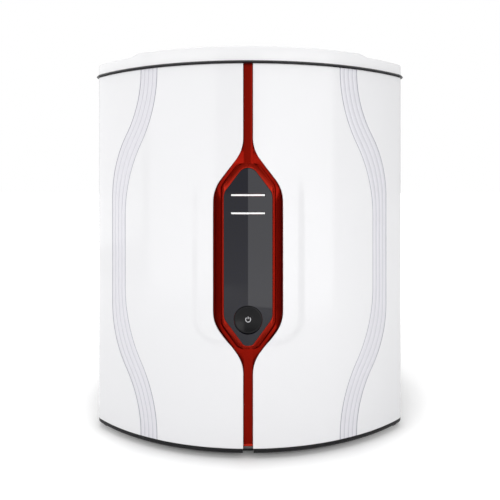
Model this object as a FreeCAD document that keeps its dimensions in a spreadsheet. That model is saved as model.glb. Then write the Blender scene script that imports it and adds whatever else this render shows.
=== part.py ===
import FreeCAD, Part
import math
import os
import re
import Sketcher
from FreeCAD import Placement, Rotation, Vector

# Bench-top ultrapure water system, in millimetres. The origin is on the bench under
# the middle of the cabinet, +Z is up and the bowed double doors face -Y.

SIZES = {
    # Cabinet
    "overall_height": 435,
    "overall_depth": 376,
    "door_half_width": 181.6,
    "bow_radius": 260,
    "corner_radius": 16,
    "frame_overhang": 2.4,
    "frame_thickness": 2.4,
    "frame_bevel": 1.8,
    "lid_height": 15.9,
    "lid_margin": 61.6,
    "lid_step": 3.4,
    "lid_step_run": 17,
    "lid_wall": 3,
    "lid_bevel": 2,
    "panel_thickness": 3,
    "foot_height": 4.7,
    "foot_radius": 9,
    "foot_front_x": 100,
    "foot_rear_x": 140,
    "foot_inset": 30,
    "tray_floor": 3.3,
    "tray_rim": 2,
    "tray_half": 138,
    "bay_depth": 134,
    "bulkhead_thickness": 3,
    "seat_gap": 0.2,
    # Doors
    "door_gap": 0.3,
    "trim_height": 5.3,
    "trim_setback": 0.3,
    "trim_bevel": 2,
    "skin": 2.4,
    "door_depth": 6,
    "swell_rise": 2,
    "swell_edge": 0.1,
    "swell_reach": 30,
    "swell_bevel": 12,
    "swell_taper": 24,
    "wave_depth": 0.4,
    "wave_half_height": 200,
    "wave_inner_end": 81.7,
    "wave_inner_middle": 41.5,
    "wave_inner_straight": 40,
    "wave_outer_end": 62.1,
    "wave_outer_middle": 23.6,
    "wave_outer_straight": 62,
    "liner_thickness": 1.8,
    "liner_inset": 3,
    "door_return": 12,
    "door_swing_gap": 1.5,
    "pin_radius": 3,
    "pin_clearance": 0.05,
    "lug_height": 7,
    "lug_half": 6.8,
    "bush_wall": 2,
    "bush_clearance": 0.02,
    "ear_thickness": 2.7,
    "ear_half": 10,
    "boss_height": 6,
    "moulding_gap": 0.6,
    # Console between the doors
    "strip_half": 5.15,
    "capsule_half": 36.4,
    "capsule_middle": 213.3,
    "capsule_straight": 141.2,
    "taper_height": 41,
    "console_rounding": 38,
    "moulding_thickness": 2.5,
    "moulding_overlap": 6,
    "toe_half": 4.4,
    "toe_bottom": 12,
    "toe_height": 4,
    "toe_reach": 6,
    "column_half": 34,
    "column_wall": 2,
    "window_half": 22,
    "window_bottom": 126,
    "window_top": 300,
    "lens_half": 25.7,
    "lens_shoulder": 279.3,
    "lens_heel": 147.5,
    "lens_bottom": 119.5,
    "lens_ridge": 1,
    "lens_fall": 3.5,
    "lens_thickness": 3,
    "lens_clearance": 0.15,
    "lens_apex_rounding": 11,
    "lens_side_rounding": 14,
    "lens_foot_rounding": 5,
    "bezel_side": 1.5,
    "bezel_rim": 5.8,
    "bezel_crest": 0.8,
    "bezel_setback": 0.4,
    "bezel_bevel": 9,
    "bezel_ledge": 3,
    "bezel_apex_rounding": 16,
    "bezel_side_rounding": 12,
    "bezel_foot_rounding": 9,
    "bar_half": 18.1,
    "bar_height": 2.3,
    "upper_bar_level": 277.4,
    "lower_bar_level": 258.3,
    "display_half": 17,
    "display_bottom": 168,
    "display_top": 280,
    "board_thickness": 1.6,
    "board_half": 27,
    "board_overlap": 6.7,
    "button_level": 146.3,
    "button_radius": 14.7,
    "button_bore_gap": 0.4,
    "button_setback": 1.6,
    "button_thickness": 4,
    "button_dish": 1.3,
    "button_floor": 13.4,
    "button_stem_half": 4,
    "button_travel": 1.2,
    "symbol_radius": 2.95,
    "symbol_stroke": 0.7,
    "symbol_height": 0.4,
    "switch_half": 5,
    "switch_height": 4,
    "plunger_half": 3,
    # Catches
    "magnet_width": 12,
    "magnet_height": 20,
    "magnet_centre_x": 22,
    "strike_thickness": 1.5,
    "lower_catch_level": 60,
    "upper_catch_drop": 4.65,
    "catch_gap": 0.4,
    # Purification packs and their locks
    "pack_x": 98,
    "pack_radius": 38,
    "pack_headroom": 44.7,
    "pack_bevel": 6,
    "pack_neck_radius": 16,
    "pack_neck": 12,
    "cradle_wall": 3.6,
    "cradle_height": 20,
    "cradle_floor": 4,
    "cap_radius": 20,
    "cap_height": 14,
    "cap_engagement": 6,
    "cap_clearance": 0.3,
    "manifold_half": 32,
    "manifold_height": 48,
    "manifold_reach": 74,
    "manifold_bevel": 8,
    "lever_pin_radius": 3,
    "lever_pin_inset": 26,
    "lever_pin_level": 28,
    "lever_gap": 0.5,
    "lever_arm": 4,
    "lever_height": 9,
    "lever_inner_reach": 34,
    "lever_bar": 8,
    "lever_eye": 5,
    "lever_bevel": 6,
    # Works behind the bulkhead
    "lamp_x": 120,
    "lamp_radius": 25,
    "lamp_bottom": 35,
    "lamp_headroom": 61.7,
    "lamp_cap_radius": 27,
    "lamp_cap_height": 15,
    "lamp_clearance": 0.05,
    "clamp_half": 32,
    "clamp_height": 15,
    "clamp_inset": 40,
    "pump_x": -50,
    "pump_level": 60,
    "pump_radius": 30,
    "pump_rear_gap": 33,
    "pump_head_size": 60,
    "pump_head_depth": 40,
    "pump_head_gap": 50,
    "pump_head_bevel": 6,
    "bracket_half": 24,
    "tube_radius": 4,
    "elbow_half": 6,
    "tube_rise": 36,
    "port_level": 60,
    "feed_port_x": -130,
    "drain_port_x": -100,
    "port_reach": 7,
    "port_flange_half": 9,
    "port_barrel_half": 5,
    "port_hole_radius": 7.2,
    "port_depth": 20,
    "port_bore_radius": 4.05,
    "port_bevel": 2.25,
    "port_inner_length": 18,
    "regulator_half": 18,
    "regulator_block": 64,
    "regulator_dome_radius": 14,
    "regulator_dome": 20,
    "regulator_bevel": 4.5,
    "regulator_gap": 42,
    "valve_half": 12,
    "valve_length": 40,
    "valve_coil_radius": 10,
    "valve_coil_height": 26,
    "cell_radius": 12,
    "cell_length": 50,
    "cell_level": 300,
    "cell_x": -20,
    "supply_x": -10,
    "supply_width": 110,
    "supply_depth": 78,
    "supply_height": 62,
    "control_board_depth": 150,
    "control_board_height": 180,
    "control_board_headroom": 36.7,
    "control_board_gap": 3.6,
    "board_post_radius": 3,
    "inlet_x": 40,
    "inlet_level": 110,
    "inlet_half_width": 25,
    "inlet_half_height": 13.5,
    "inlet_flange": 3,
    "inlet_socket_half_width": 12,
    "inlet_socket_half_height": 8,
    "inlet_socket_depth": 16,
    "inlet_body_depth": 22,
    "blade_length": 10,
    "blade_pitch": 7,
    "blade_half_width": 1,
    "blade_half_height": 2,
    "vent_x": 40,
    "vent_half": 45,
    "vent_headroom": 49.7,
    "vent_pitch": 9,
    "vent_height": 4,
}

VENT_ROWS = 8
NUT_SIDES = 6
ROUND_SIDES = 12  # of small round pieces that nothing turns in
DRUM_SIDES = 24  # of the packs, the lamp chamber and the motor

# Sizes that follow from others. Each is written out in full wherever it is used.
RULES = {
    "bow_centre_y": "bow_radius + frame_overhang - overall_depth/2",
    "door_front": "bow_centre_y - bow_radius",
    "bow_reach": "bow_radius - corner_radius",
    "pivot_x": "door_half_width - corner_radius",
    "pivot_y": "bow_centre_y - sqrt(bow_reach^2 - pivot_x^2)",
    "body_rear": "overall_depth/2 - port_reach",
    "rear_inner": "body_rear - panel_thickness",
    "side_inner": "door_half_width - panel_thickness",
    "floor_top": "foot_height + tray_floor",
    "rim_top": "floor_top + tray_rim",
    "frame_bottom": "overall_height - lid_height - frame_thickness",
    "frame_top": "overall_height - lid_height",
    "door_bottom": "foot_height + door_gap",
    "shell_bottom": "door_bottom + trim_height",
    "door_top": "frame_bottom - door_gap",
    "door_back_edge": "pivot_y + door_return",
    "liner_back": "door_depth + liner_thickness",
    "moulding_front": "liner_back + moulding_gap",
    "moulding_back": "moulding_front + moulding_thickness",
    "sweep_radius": "sqrt(corner_radius^2 + door_return^2)",
    "shoulder_level": "capsule_middle + capsule_straight/2",
    "heel_level": "capsule_middle - capsule_straight/2",
    "console_slope": "taper_height/(capsule_half - strip_half)",
    "slope_length": "sqrt(1 + console_slope^2)",
    "corner_tangent": "slope_length - console_slope",
    "lean_x": "console_slope/slope_length",
    "lean_z": "1/slope_length",
    "column_front": "bow_centre_y + seat_gap - sqrt((bow_radius - moulding_back)^2 - column_half^2)",
    "bulkhead_front": "column_front + bay_depth",
    "bulkhead_rear": "bulkhead_front + bulkhead_thickness",
    "lens_crown": "lens_shoulder + lens_half*console_slope - lens_apex_rounding*(slope_length - 1)",
    "ridge_y": "lens_ridge - overall_depth/2",
    "lens_back": "ridge_y + lens_fall + lens_thickness",
    "button_front": "ridge_y + button_setback",
    "board_front": "column_front + column_wall + seat_gap",
    "stem_end": "board_front - switch_height - button_travel - seat_gap",
    "upper_catch_level": "(shoulder_level + taper_height + door_top)/2 - upper_catch_drop",
    "manifold_top": "frame_bottom - pack_headroom",
    "manifold_bottom": "manifold_top - manifold_height",
    "manifold_front": "bulkhead_front - manifold_reach",
    "cap_top": "manifold_bottom + cap_engagement",
    "cap_bottom": "cap_top - cap_height",
    "pack_y": "bulkhead_front - pack_radius - seat_gap",
    "pack_foot": "floor_top + cradle_floor",
    "pack_height": "cap_bottom - pack_foot",
    "lever_pin_y": "manifold_front + lever_pin_inset",
    "lever_pin_z": "manifold_bottom + lever_pin_level",
    "lever_outer_reach": "lever_inner_reach + lever_bar",
    "lamp_y": "bulkhead_rear + lamp_cap_radius + seat_gap",
    "lamp_length": "frame_bottom - lamp_headroom - lamp_cap_height - lamp_bottom",
    "port_inner_end": "rear_inner - port_inner_length",
    "regulator_y": "port_inner_end - regulator_gap - regulator_half",
    "pump_head_front": "bulkhead_rear + pump_head_gap",
    "pump_head_rear": "pump_head_front + pump_head_depth",
    "pump_length": "rear_inner - pump_rear_gap - pump_head_rear",
    "supply_front": "rear_inner - supply_depth",
    "control_board_level": "frame_bottom - control_board_headroom - control_board_height",
    "wave_inner_x": "door_half_width - wave_inner_middle",
    "wave_outer_x": "door_half_width - wave_outer_middle",
    "swell_x": "capsule_half + swell_reach",
}

doc = FreeCAD.newDocument("WaterSystem")
sheet = doc.addObject("Spreadsheet::Sheet", "Sizes")
for row, (alias, number) in enumerate(SIZES.items(), start=1):
    sheet.set(f"A{row}", alias)
    sheet.set(f"B{row}", str(number))
    sheet.setAlias(f"B{row}", alias)
doc.recompute()

nodes = []


def spelled(text):
    """Turn plain size names into references to the sheet."""
    def swap(match):
        word = match.group()
        if word in RULES:
            return f"({spelled(RULES[word])})"
        if word in SIZES:
            return f"Sizes.{word}"
        return word
    return re.sub(r"[a-z][a-z0-9_]*", swap, text)


def value(text):
    return float(sheet.evalExpression(spelled(text)))


def bind(item, path, text):
    item.setExpression(path, spelled(text))


def place(item, spot, turn=None):
    """Put an object at three bound coordinates, turned by a fixed rotation."""
    if turn is not None:
        item.Placement = Placement(Vector(), turn)
    for axis, text in zip("xyz", spot):
        bind(item, f"Placement.Base.{axis}", text)


def keep(item, label):
    """Make an object one of the exported sub-parts."""
    item.Label = label
    nodes.append(item)
    return item


def new_body(label):
    return doc.addObject("PartDesign::Body", label)


# Sketches. A loop is a list of corners: (x, y) ends a straight line, and
# (x, y, radius, centre x, centre y) ends an arc. ("circle", x, y, radius) is a circle.

def new_sketch(owner, plane, level):
    sketch = owner.newObject("Sketcher::SketchObject", "Sketch")
    roles = {item.Role: item for item in owner.Origin.OriginFeatures}
    sketch.AttachmentSupport = [(roles[f"{plane}_Plane"], "")]
    sketch.MapMode = "FlatFace"
    away = f"-({level})" if plane == "XZ" else level
    bind(sketch, "AttachmentOffset.Base.z", away)
    return sketch


def driven(sketch, entries):
    """Add constraints, each bound to an expression where it has one."""
    numbers = sketch.addConstraint([constraint for constraint, text in entries])
    for number, (constraint, text) in zip(numbers, entries):
        if text is not None:
            bind(sketch, f"Constraints[{number}]", text)


def draw_circle(sketch, x, y, radius):
    centre = Vector(value(x), value(y), 0)
    index = sketch.addGeometry(Part.Circle(centre, Vector(0, 0, 1), value(radius)), False)
    driven(sketch, [
        (Sketcher.Constraint("DistanceX", index, 3, centre.x), x),
        (Sketcher.Constraint("DistanceY", index, 3, centre.y), y),
        (Sketcher.Constraint("Radius", index, value(radius)), radius),
    ])


def segment(start, end, corner):
    """The line or arc that ends at a corner."""
    if len(corner) == 2:
        return Part.LineSegment(start, end)
    centre = Vector(value(corner[3]), value(corner[4]), 0)
    outwards = (start + end - centre * 2).normalize()
    return Part.Arc(start, centre + outwards * value(corner[2]), end)


def draw(sketch, loop):
    if loop[0] == "circle":
        draw_circle(sketch, *loop[1:])
        return
    spots = [Vector(value(corner[0]), value(corner[1]), 0) for corner in loop]
    entries = []
    previous = None
    first = None
    for number, corner in enumerate(loop):
        start = spots[number - 1]
        index = sketch.addGeometry(segment(start, spots[number], corner), False)
        begins = 1 if (sketch.getPoint(index, 1) - start).Length < 1e-4 else 2
        ends = 3 - begins
        if previous is None:
            first = (index, begins)
        else:
            entries.append((Sketcher.Constraint("Coincident", *previous, index, begins), None))
        entries.append((Sketcher.Constraint("DistanceX", index, ends, spots[number].x), corner[0]))
        entries.append((Sketcher.Constraint("DistanceY", index, ends, spots[number].y), corner[1]))
        if len(corner) == 5:
            entries.append((Sketcher.Constraint("Radius", index, value(corner[2])), corner[2]))
        previous = (index, ends)
    entries.append((Sketcher.Constraint("Coincident", *previous, *first), None))
    driven(sketch, entries)


def rectangle(x0, y0, x1, y1):
    return [(x0, y0), (x1, y0), (x1, y1), (x0, y1)]


def square(x, y, half):
    return rectangle(f"{x} - ({half})", f"{y} - ({half})", f"{x} + ({half})", f"{y} + ({half})")


def polygon(x, y, radius, sides=ROUND_SIDES):
    """A circle drawn with straight sides, the first corner on its right."""
    loop = []
    for number in range(sides):
        turn = 2 * math.pi * number / sides
        loop.append((f"{x} + ({radius})*({math.cos(turn):.6f})", f"{y} + ({radius})*({math.sin(turn):.6f})"))
    return loop


def mirrored(loop, sign):
    """A loop on the right half, or its mirror image on the left."""
    if sign > 0:
        return loop
    if loop[0] == "circle":
        return ("circle", f"-({loop[1]})", *loop[2:])
    flipped = []
    for corner in loop:
        parts = [f"-({corner[0]})", corner[1]]
        if len(corner) == 5:
            parts += [corner[2], f"-({corner[3]})", corner[4]]
        flipped.append(tuple(parts))
    return flipped


# Features. Start and end are the two levels along the plane's normal axis.

def pad(owner, plane, start, end, *loops):
    sketch = new_sketch(owner, plane, end if plane == "XZ" else start)
    for loop in loops:
        draw(sketch, loop)
    feature = owner.newObject("PartDesign::Pad", "Pad")
    feature.Profile = sketch
    bind(feature, "Length", f"({end}) - ({start})")
    return feature


def pocket(owner, plane, start, end, *loops):
    sketch = new_sketch(owner, plane, start if plane == "XZ" else end)
    for loop in loops:
        draw(sketch, loop)
    feature = owner.newObject("PartDesign::Pocket", "Pocket")
    feature.Profile = sketch
    bind(feature, "Length", f"({end}) - ({start})")
    return feature


def revolve(owner, *loops):
    """Turn profiles of (radius, height) about the body's own Z axis."""
    sketch = new_sketch(owner, "XZ", "0")
    for loop in loops:
        draw(sketch, loop)
    feature = owner.newObject("PartDesign::Revolution", "Revolution")
    feature.Profile = sketch
    feature.ReferenceAxis = (sketch, ["V_Axis"])
    feature.Angle = 360
    return feature


def chamfer(owner, width, chosen):
    """Chamfer the edges of the body so far that a test picks."""
    doc.recompute()
    base = owner.Tip
    names = [f"Edge{n}" for n, edge in enumerate(base.Shape.Edges, start=1) if chosen(edge)]
    feature = owner.newObject("PartDesign::Chamfer", "Chamfer")
    feature.Base = (base, names)
    bind(feature, "Size", width)
    return feature


def runs(edge, axis):
    """Whether an edge is straight and lies along an axis."""
    if edge.Curve.TypeId != "Part::GeomLine":
        return False
    way = (edge.lastVertex().Point - edge.firstVertex().Point).normalize()
    return abs(way.dot(axis)) > 0.999


def middle(edge):
    return edge.valueAt((edge.FirstParameter + edge.LastParameter) / 2)


def near(number, text):
    return abs(number - value(text)) < 0.05


ALONG_X = Vector(1, 0, 0)
ALONG_Y = Vector(0, 1, 0)
ALONG_Z = Vector(0, 0, 1)
TURN_TO_REAR = Rotation(ALONG_X, -90)
SIDES = (("left", -1), ("right", 1))


def signed(text, sign):
    return text if sign > 0 else f"-({text})"


# The cabinet's plan: a bowed front, tight corners about the hinge pins, flat sides.
# An offset is measured inwards from the doors' outer face.

def bow_y(offset, x):
    return f"bow_centre_y - sqrt((bow_radius - ({offset}))^2 - ({x})^2)"


def corner_spot(offset):
    share = f"(bow_radius - ({offset}))/bow_reach"
    return f"pivot_x*{share}", f"bow_centre_y - (bow_centre_y - pivot_y)*{share}"


def footprint(offset, rear):
    """The whole plan outline, closed by a straight back."""
    side = f"door_half_width - ({offset})"
    bow = f"bow_radius - ({offset})"
    corner = f"corner_radius - ({offset})"
    x, y = corner_spot(offset)
    return [
        (f"-({side})", rear),
        (f"-({side})", "pivot_y"),
        (f"-({x})", y, corner, "-pivot_x", "pivot_y"),
        (x, y, bow, "0", "bow_centre_y"),
        (side, "pivot_y", corner, "pivot_x", "pivot_y"),
        (side, rear),
    ]


def door_wall(outer, inner, start, rear):
    """One door's plan between two offsets, from its meeting edge round to its return."""
    outer_x, outer_y = corner_spot(outer)
    inner_x, inner_y = corner_spot(inner)
    return [
        (start, bow_y(outer, start)),
        (outer_x, outer_y, f"bow_radius - ({outer})", "0", "bow_centre_y"),
        (f"door_half_width - ({outer})", "pivot_y", f"corner_radius - ({outer})", "pivot_x", "pivot_y"),
        (f"door_half_width - ({outer})", rear),
        (f"door_half_width - ({inner})", rear),
        (f"door_half_width - ({inner})", "pivot_y"),
        (inner_x, inner_y, f"corner_radius - ({inner})", "pivot_x", "pivot_y"),
        (start, bow_y(inner, start), f"bow_radius - ({inner})", "0", "bow_centre_y"),
    ]


# The console's outline seen from the front, grown outwards by an amount.

def console_corners(grow):
    """The four corners on the right, from the top down."""
    shift = f"({grow})*(slope_length - console_slope)"
    narrow = f"strip_half + ({grow})"
    wide = f"capsule_half + ({grow})"
    return [
        (narrow, f"shoulder_level + taper_height + {shift}"),
        (wide, f"shoulder_level + {shift}"),
        (wide, f"heel_level - {shift}"),
        (narrow, f"heel_level - taper_height - {shift}"),
    ]


def console_outline(grow):
    """The right half of the opening between the doors, from the top down, corners rounded."""
    top, shoulder, heel, bottom = console_corners(grow)
    outer = f"(console_rounding + ({grow}))"
    inner = f"(console_rounding - ({grow}))"
    outer_run = f"{outer}*corner_tangent"
    inner_run = f"{inner}*corner_tangent"
    return [
        (top[0], f"{top[1]} + {inner_run}"),
        (f"{top[0]} + {inner_run}*lean_z", f"{top[1]} - {inner_run}*lean_x",
         inner, f"{top[0]} + {inner}", f"{top[1]} + {inner_run}"),
        (f"{shoulder[0]} - {outer_run}*lean_z", f"{shoulder[1]} + {outer_run}*lean_x"),
        (shoulder[0], f"{shoulder[1]} - {outer_run}",
         outer, f"{shoulder[0]} - {outer}", f"{shoulder[1]} - {outer_run}"),
        (heel[0], f"{heel[1]} + {outer_run}"),
        (f"{heel[0]} - {outer_run}*lean_z", f"{heel[1]} - {outer_run}*lean_x",
         outer, f"{heel[0]} - {outer}", f"{heel[1]} + {outer_run}"),
        (f"{bottom[0]} + {inner_run}*lean_z", f"{bottom[1]} + {inner_run}*lean_x"),
        (bottom[0], f"{bottom[1]} - {inner_run}",
         inner, f"{bottom[0]} + {inner}", f"{bottom[1]} - {inner_run}"),
    ]


def lens_outline(grow, side, name):
    """The lens outline, grown by two amounts: round apex, upright sides, a short flat foot."""
    wide = f"(lens_half + ({side}))"
    rise = f"(({grow})*slope_length - ({side})*console_slope)"
    low = f"(lens_bottom - ({grow}))"
    turn = f"{name}_side_rounding"
    side_x = f"{wide} - {turn} + {turn}*lean_x"
    upper = f"(lens_shoulder + {rise} - {turn}*(slope_length - console_slope))"
    lower = f"(lens_heel - {rise} + {turn}*(slope_length - console_slope))"
    crown = f"{name}_apex_rounding"
    crown_z = f"(lens_shoulder + {rise} + {wide}*console_slope - {crown}*slope_length)"
    toe = f"{name}_foot_rounding"
    toe_x = f"({wide} - (lens_heel - {rise} - {low})/console_slope - {toe}*(slope_length - 1)/console_slope)"
    left = [
        (f"-({toe_x} + {toe}*lean_x)", f"{low} + {toe} - {toe}*lean_z", toe, f"-{toe_x}", f"{low} + {toe}"),
        (f"-({side_x})", f"{lower} - {turn}*lean_z"),
        (f"-{wide}", lower, turn, f"{turn} - {wide}", lower),
        (f"-{wide}", upper),
        (f"-({side_x})", f"{upper} + {turn}*lean_z", turn, f"{turn} - {wide}", upper),
        (f"-{crown}*lean_x", f"{crown_z} + {crown}*lean_z"),
    ]
    right = [
        (f"{crown}*lean_x", f"{crown_z} + {crown}*lean_z", crown, "0", crown_z),
        (side_x, f"{upper} + {turn}*lean_z"),
        (wide, upper, turn, f"{wide} - {turn}", upper),
        (wide, lower),
        (side_x, f"{lower} - {turn}*lean_z", turn, f"{wide} - {turn}", lower),
        (f"{toe_x} + {toe}*lean_x", f"{low} + {toe} - {toe}*lean_z"),
        (toe_x, low, toe, toe_x, f"{low} + {toe}"),
        (f"-{toe_x}", low),
    ]
    return left + right


def prow_cut(owner, setback, bottom, top):
    """Trim a console piece to two flat faces that meet in an upright ridge."""
    far = "2*lens_half"
    ridge = f"ridge_y + ({setback})"
    edge = f"{ridge} + 2*lens_fall"
    pocket(owner, "XY", bottom, top, [
        (f"-({far})", edge),
        (f"-({far})", f"{ridge} - lens_half"),
        (far, f"{ridge} - lens_half"),
        (far, edge),
        ("0", ridge),
    ])


# Chassis

def make_base_tray():
    """Floor pan with a low rim and hinge ears under the doors."""
    tray = keep(new_body("base_tray"), "base_tray")
    front = "door_back_edge + door_swing_gap"
    pad(tray, "XY", "foot_height", "floor_top", [
        ("-door_half_width", "body_rear"),
        ("-door_half_width", front),
        ("-tray_half", front),
        ("-tray_half", bow_y("moulding_front", "tray_half")),
        ("tray_half", bow_y("moulding_front", "tray_half"), "bow_radius - moulding_front", "0",
         "bow_centre_y"),
        ("tray_half", front),
        ("door_half_width", front),
        ("door_half_width", "body_rear"),
    ])
    rim_wall = "panel_thickness + tray_rim"
    for sign in (-1, 1):
        pad(tray, "XY", "floor_top", "rim_top", mirrored(rectangle(
            f"door_half_width - ({rim_wall})", front, "door_half_width", "body_rear"), sign))
    pad(tray, "XY", "floor_top", "rim_top", rectangle(
        f"{rim_wall} - door_half_width", f"body_rear - ({rim_wall})",
        f"door_half_width - ({rim_wall})", "body_rear"))
    for sign in (-1, 1):
        pocket(tray, "XY", "foot_height", "rim_top", mirrored(
            ("circle", "pivot_x", "pivot_y", "sweep_radius + door_swing_gap/2"), sign))
        pad(tray, "XY", "foot_height - ear_thickness", "foot_height", mirrored([
            ("pivot_x - ear_half", "pivot_y - ear_half/2"),
            ("pivot_x - ear_half/2", "pivot_y - ear_half"),
            ("pivot_x + ear_half/2", "pivot_y - ear_half"),
            ("pivot_x + ear_half", "pivot_y - ear_half/2"),
            ("pivot_x + ear_half", f"{front} + 2*ear_half"),
            ("pivot_x - ear_half", f"{front} + 2*ear_half"),
        ], sign))
        pocket(tray, "XY", "foot_height - ear_thickness", "foot_height", bush_outline(sign, "bush_clearance"))


def bush_outline(sign, grow):
    """The square foot of a hinge bush, grown by a clearance."""
    half = f"(pin_radius + bush_wall + ({grow}))"
    return mirrored(rectangle(f"pivot_x - {half}", f"pivot_y - {half}", f"pivot_x + {half}",
                              f"pivot_y + {half}"), sign)


def foot_spots():
    front = f"{bow_y('0', 'foot_front_x')} + foot_inset"
    rear = "body_rear - foot_inset"
    return [("foot_front_x", front), ("-foot_front_x", front), ("foot_rear_x", rear), ("-foot_rear_x", rear)]


def make_rubber_feet():
    """Four round feet, bonded to the tray."""
    feet = [prism("rubber_foot", (x, y, "0"), ROUND_SIDES, "foot_radius", "foot_height")
            for x, y in foot_spots()]
    group("rubber_feet", feet)


def make_side_panels():
    """Flat white sides. The front edge is bevelled inside to clear the turning door."""
    for name, sign in SIDES:
        panel = keep(new_body(f"{name}_side_panel"), f"{name}_side_panel")
        front = "door_back_edge + door_swing_gap"
        pad(panel, "XY", "rim_top", "frame_bottom", mirrored([
            ("door_half_width", front),
            ("door_half_width", "rear_inner"),
            ("side_inner", "rear_inner"),
            ("side_inner", f"{front} + panel_thickness"),
        ], sign))


def make_back_panel():
    """Rear cover with the vent slots and the cut-outs for the ports and the inlet."""
    panel = keep(new_body("back_panel"), "back_panel")
    pad(panel, "XY", "rim_top", "frame_bottom", rectangle(
        "-door_half_width", "rear_inner", "door_half_width", "body_rear"))
    chamfer(panel, "panel_thickness/2", lambda edge: runs(edge, ALONG_Z) and near(
        middle(edge).y, "body_rear"))
    holes = [("circle", x, "port_level", "port_hole_radius") for x in port_spots().values()]
    pocket(panel, "XZ", "rear_inner", "body_rear", *holes)
    pocket(panel, "XZ", "rear_inner", "body_rear", inlet_outline("inlet_half_width - inlet_flange",
                                                               "inlet_half_height - inlet_flange/2"))
    slots = []
    for number in range(VENT_ROWS):
        high = f"frame_bottom - vent_headroom - {number}*vent_pitch"
        slots.append(rectangle("vent_x - vent_half", f"{high} - vent_height", "vent_x + vent_half", high))
    pocket(panel, "XZ", "rear_inner", "body_rear", *slots)


def port_spots():
    return {"feed": "feed_port_x", "drain": "drain_port_x", "product": "lamp_x"}


def inlet_outline(half_width, half_height):
    return rectangle(f"inlet_x - ({half_width})", f"inlet_level - ({half_height})",
                     f"inlet_x + ({half_width})", f"inlet_level + ({half_height})")


def make_top_frame():
    """Dark plate that shows as a line under the lid and carries the upper bushes."""
    frame = keep(new_body("top_frame"), "top_frame")
    pad(frame, "XY", "frame_bottom", "frame_top", footprint("-frame_overhang", "body_rear + frame_overhang"))
    chamfer(frame, "frame_bevel", lambda edge: near(middle(edge).z, "frame_top"))
    for sign in (-1, 1):
        pad(frame, "XY", "frame_top", "frame_top + boss_height", bush_outline(sign, "bush_wall"))
        pocket(frame, "XY", "frame_bottom", "frame_top + boss_height", bush_outline(sign, "bush_clearance"))


def make_lid():
    """Hollow cap whose middle stands a step above both sides."""
    lid = keep(new_body("lid"), "lid")
    pad(lid, "XY", "frame_top", "overall_height", footprint("0", "body_rear"))
    chamfer(lid, "lid_bevel", lambda edge: near(middle(edge).z, "overall_height"))
    low = "overall_height - lid_step"
    for sign in (-1, 1):
        pocket(lid, "XZ", "-overall_depth", "overall_depth", mirrored([
            ("door_half_width - lid_margin", "overall_height"),
            ("2*door_half_width", "overall_height"),
            ("2*door_half_width", low),
            ("door_half_width - lid_margin + lid_step_run", low),
        ], sign))
    pocket(lid, "XY", "frame_top", f"{low} - lid_wall", footprint("lid_wall", "body_rear - lid_wall"))


def make_bulkhead():
    """Upright wall between the pack bays and the works behind."""
    wall = keep(new_body("bulkhead"), "bulkhead")
    pad(wall, "XY", "floor_top", "frame_bottom", rectangle(
        "seat_gap - side_inner + tray_rim", "bulkhead_front", "side_inner - seat_gap - tray_rim",
        "bulkhead_rear"))


# Console

def make_spine_column():
    """Box column up the middle that carries the console and parts the two bays."""
    column = keep(new_body("spine_column"), "spine_column")
    pad(column, "XY", "floor_top", "frame_bottom", rectangle(
        "-column_half", "column_front", "column_half", "bulkhead_front"))
    pocket(column, "XY", "floor_top", "frame_bottom", rectangle(
        "column_wall - column_half", "column_front + column_wall", "column_half - column_wall",
        "bulkhead_front"))
    pocket(column, "XZ", "column_front", "column_front + column_wall", rectangle(
        "-window_half", "window_bottom", "window_half", "window_top"))


def make_spine_moulding():
    """Red moulding behind the doors' meeting edges, with the console's window and toe."""
    moulding = keep(new_body("spine_moulding"), "spine_moulding")
    wide = "capsule_half + moulding_overlap"
    pad(moulding, "XY", "floor_top", "frame_bottom", [
        (f"-({wide})", bow_y("moulding_front", wide)),
        (wide, bow_y("moulding_front", wide), "bow_radius - moulding_front", "0", "bow_centre_y"),
        (wide, bow_y("moulding_back", wide)),
        (f"-({wide})", bow_y("moulding_back", wide), "bow_radius - moulding_back", "0", "bow_centre_y"),
    ])
    top, shoulder, heel, bottom = console_corners("moulding_overlap")
    far = f"{wide} + moulding_overlap"
    for sign in (-1, 1):
        for high, low, turn, end in ((top, shoulder, "frame_bottom + lid_height", 1),
                                     (heel, bottom, "0", -1)):
            corner = high if end > 0 else low
            slanted = low if end > 0 else high
            pocket(moulding, "XZ", "door_front", "column_front + bay_depth", mirrored([
                (corner[0], turn),
                corner,
                slanted,
                (far, slanted[1]),
                (far, turn),
            ], sign))
    window = lens_outline("bezel_rim + seat_gap", "bezel_side + seat_gap", "bezel")
    pocket(moulding, "XZ", "door_front", "column_front + bay_depth", window)
    pad(moulding, "XZ", f"{bow_y('moulding_front', '0')} - toe_reach", bow_y("moulding_front", "toe_half"),
        rectangle("-toe_half", "toe_bottom", "toe_half", "toe_bottom + toe_height"))


def make_console_bezel():
    """Red rim round the lens: a prism on the column whose front is a wide bevel."""
    bezel = keep(new_body("console_bezel"), "console_bezel")
    outer = lens_outline("bezel_rim", "bezel_side", "bezel")
    bevel_start = "ridge_y + bezel_bevel"
    pad(bezel, "XZ", bevel_start, "column_front", outer)
    base = new_sketch(bezel, "XZ", bevel_start)
    draw(base, outer)
    crest = new_sketch(bezel, "XZ", "ridge_y")
    draw(crest, lens_outline("bezel_crest", "bezel_crest", "lens"))
    loft = bezel.newObject("PartDesign::AdditiveLoft", "Loft")
    loft.Profile = base
    loft.Sections = [crest]
    loft.Ruled = True
    prow_cut(bezel, "bezel_setback", "lens_bottom - 2*bezel_rim", "2*lens_shoulder")
    hole = lens_outline("lens_clearance", "lens_clearance", "lens")
    pocket(bezel, "XZ", "ridge_y", "lens_back", hole)
    pocket(bezel, "XZ", "lens_back", "column_front", ledge_outline())


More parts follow.
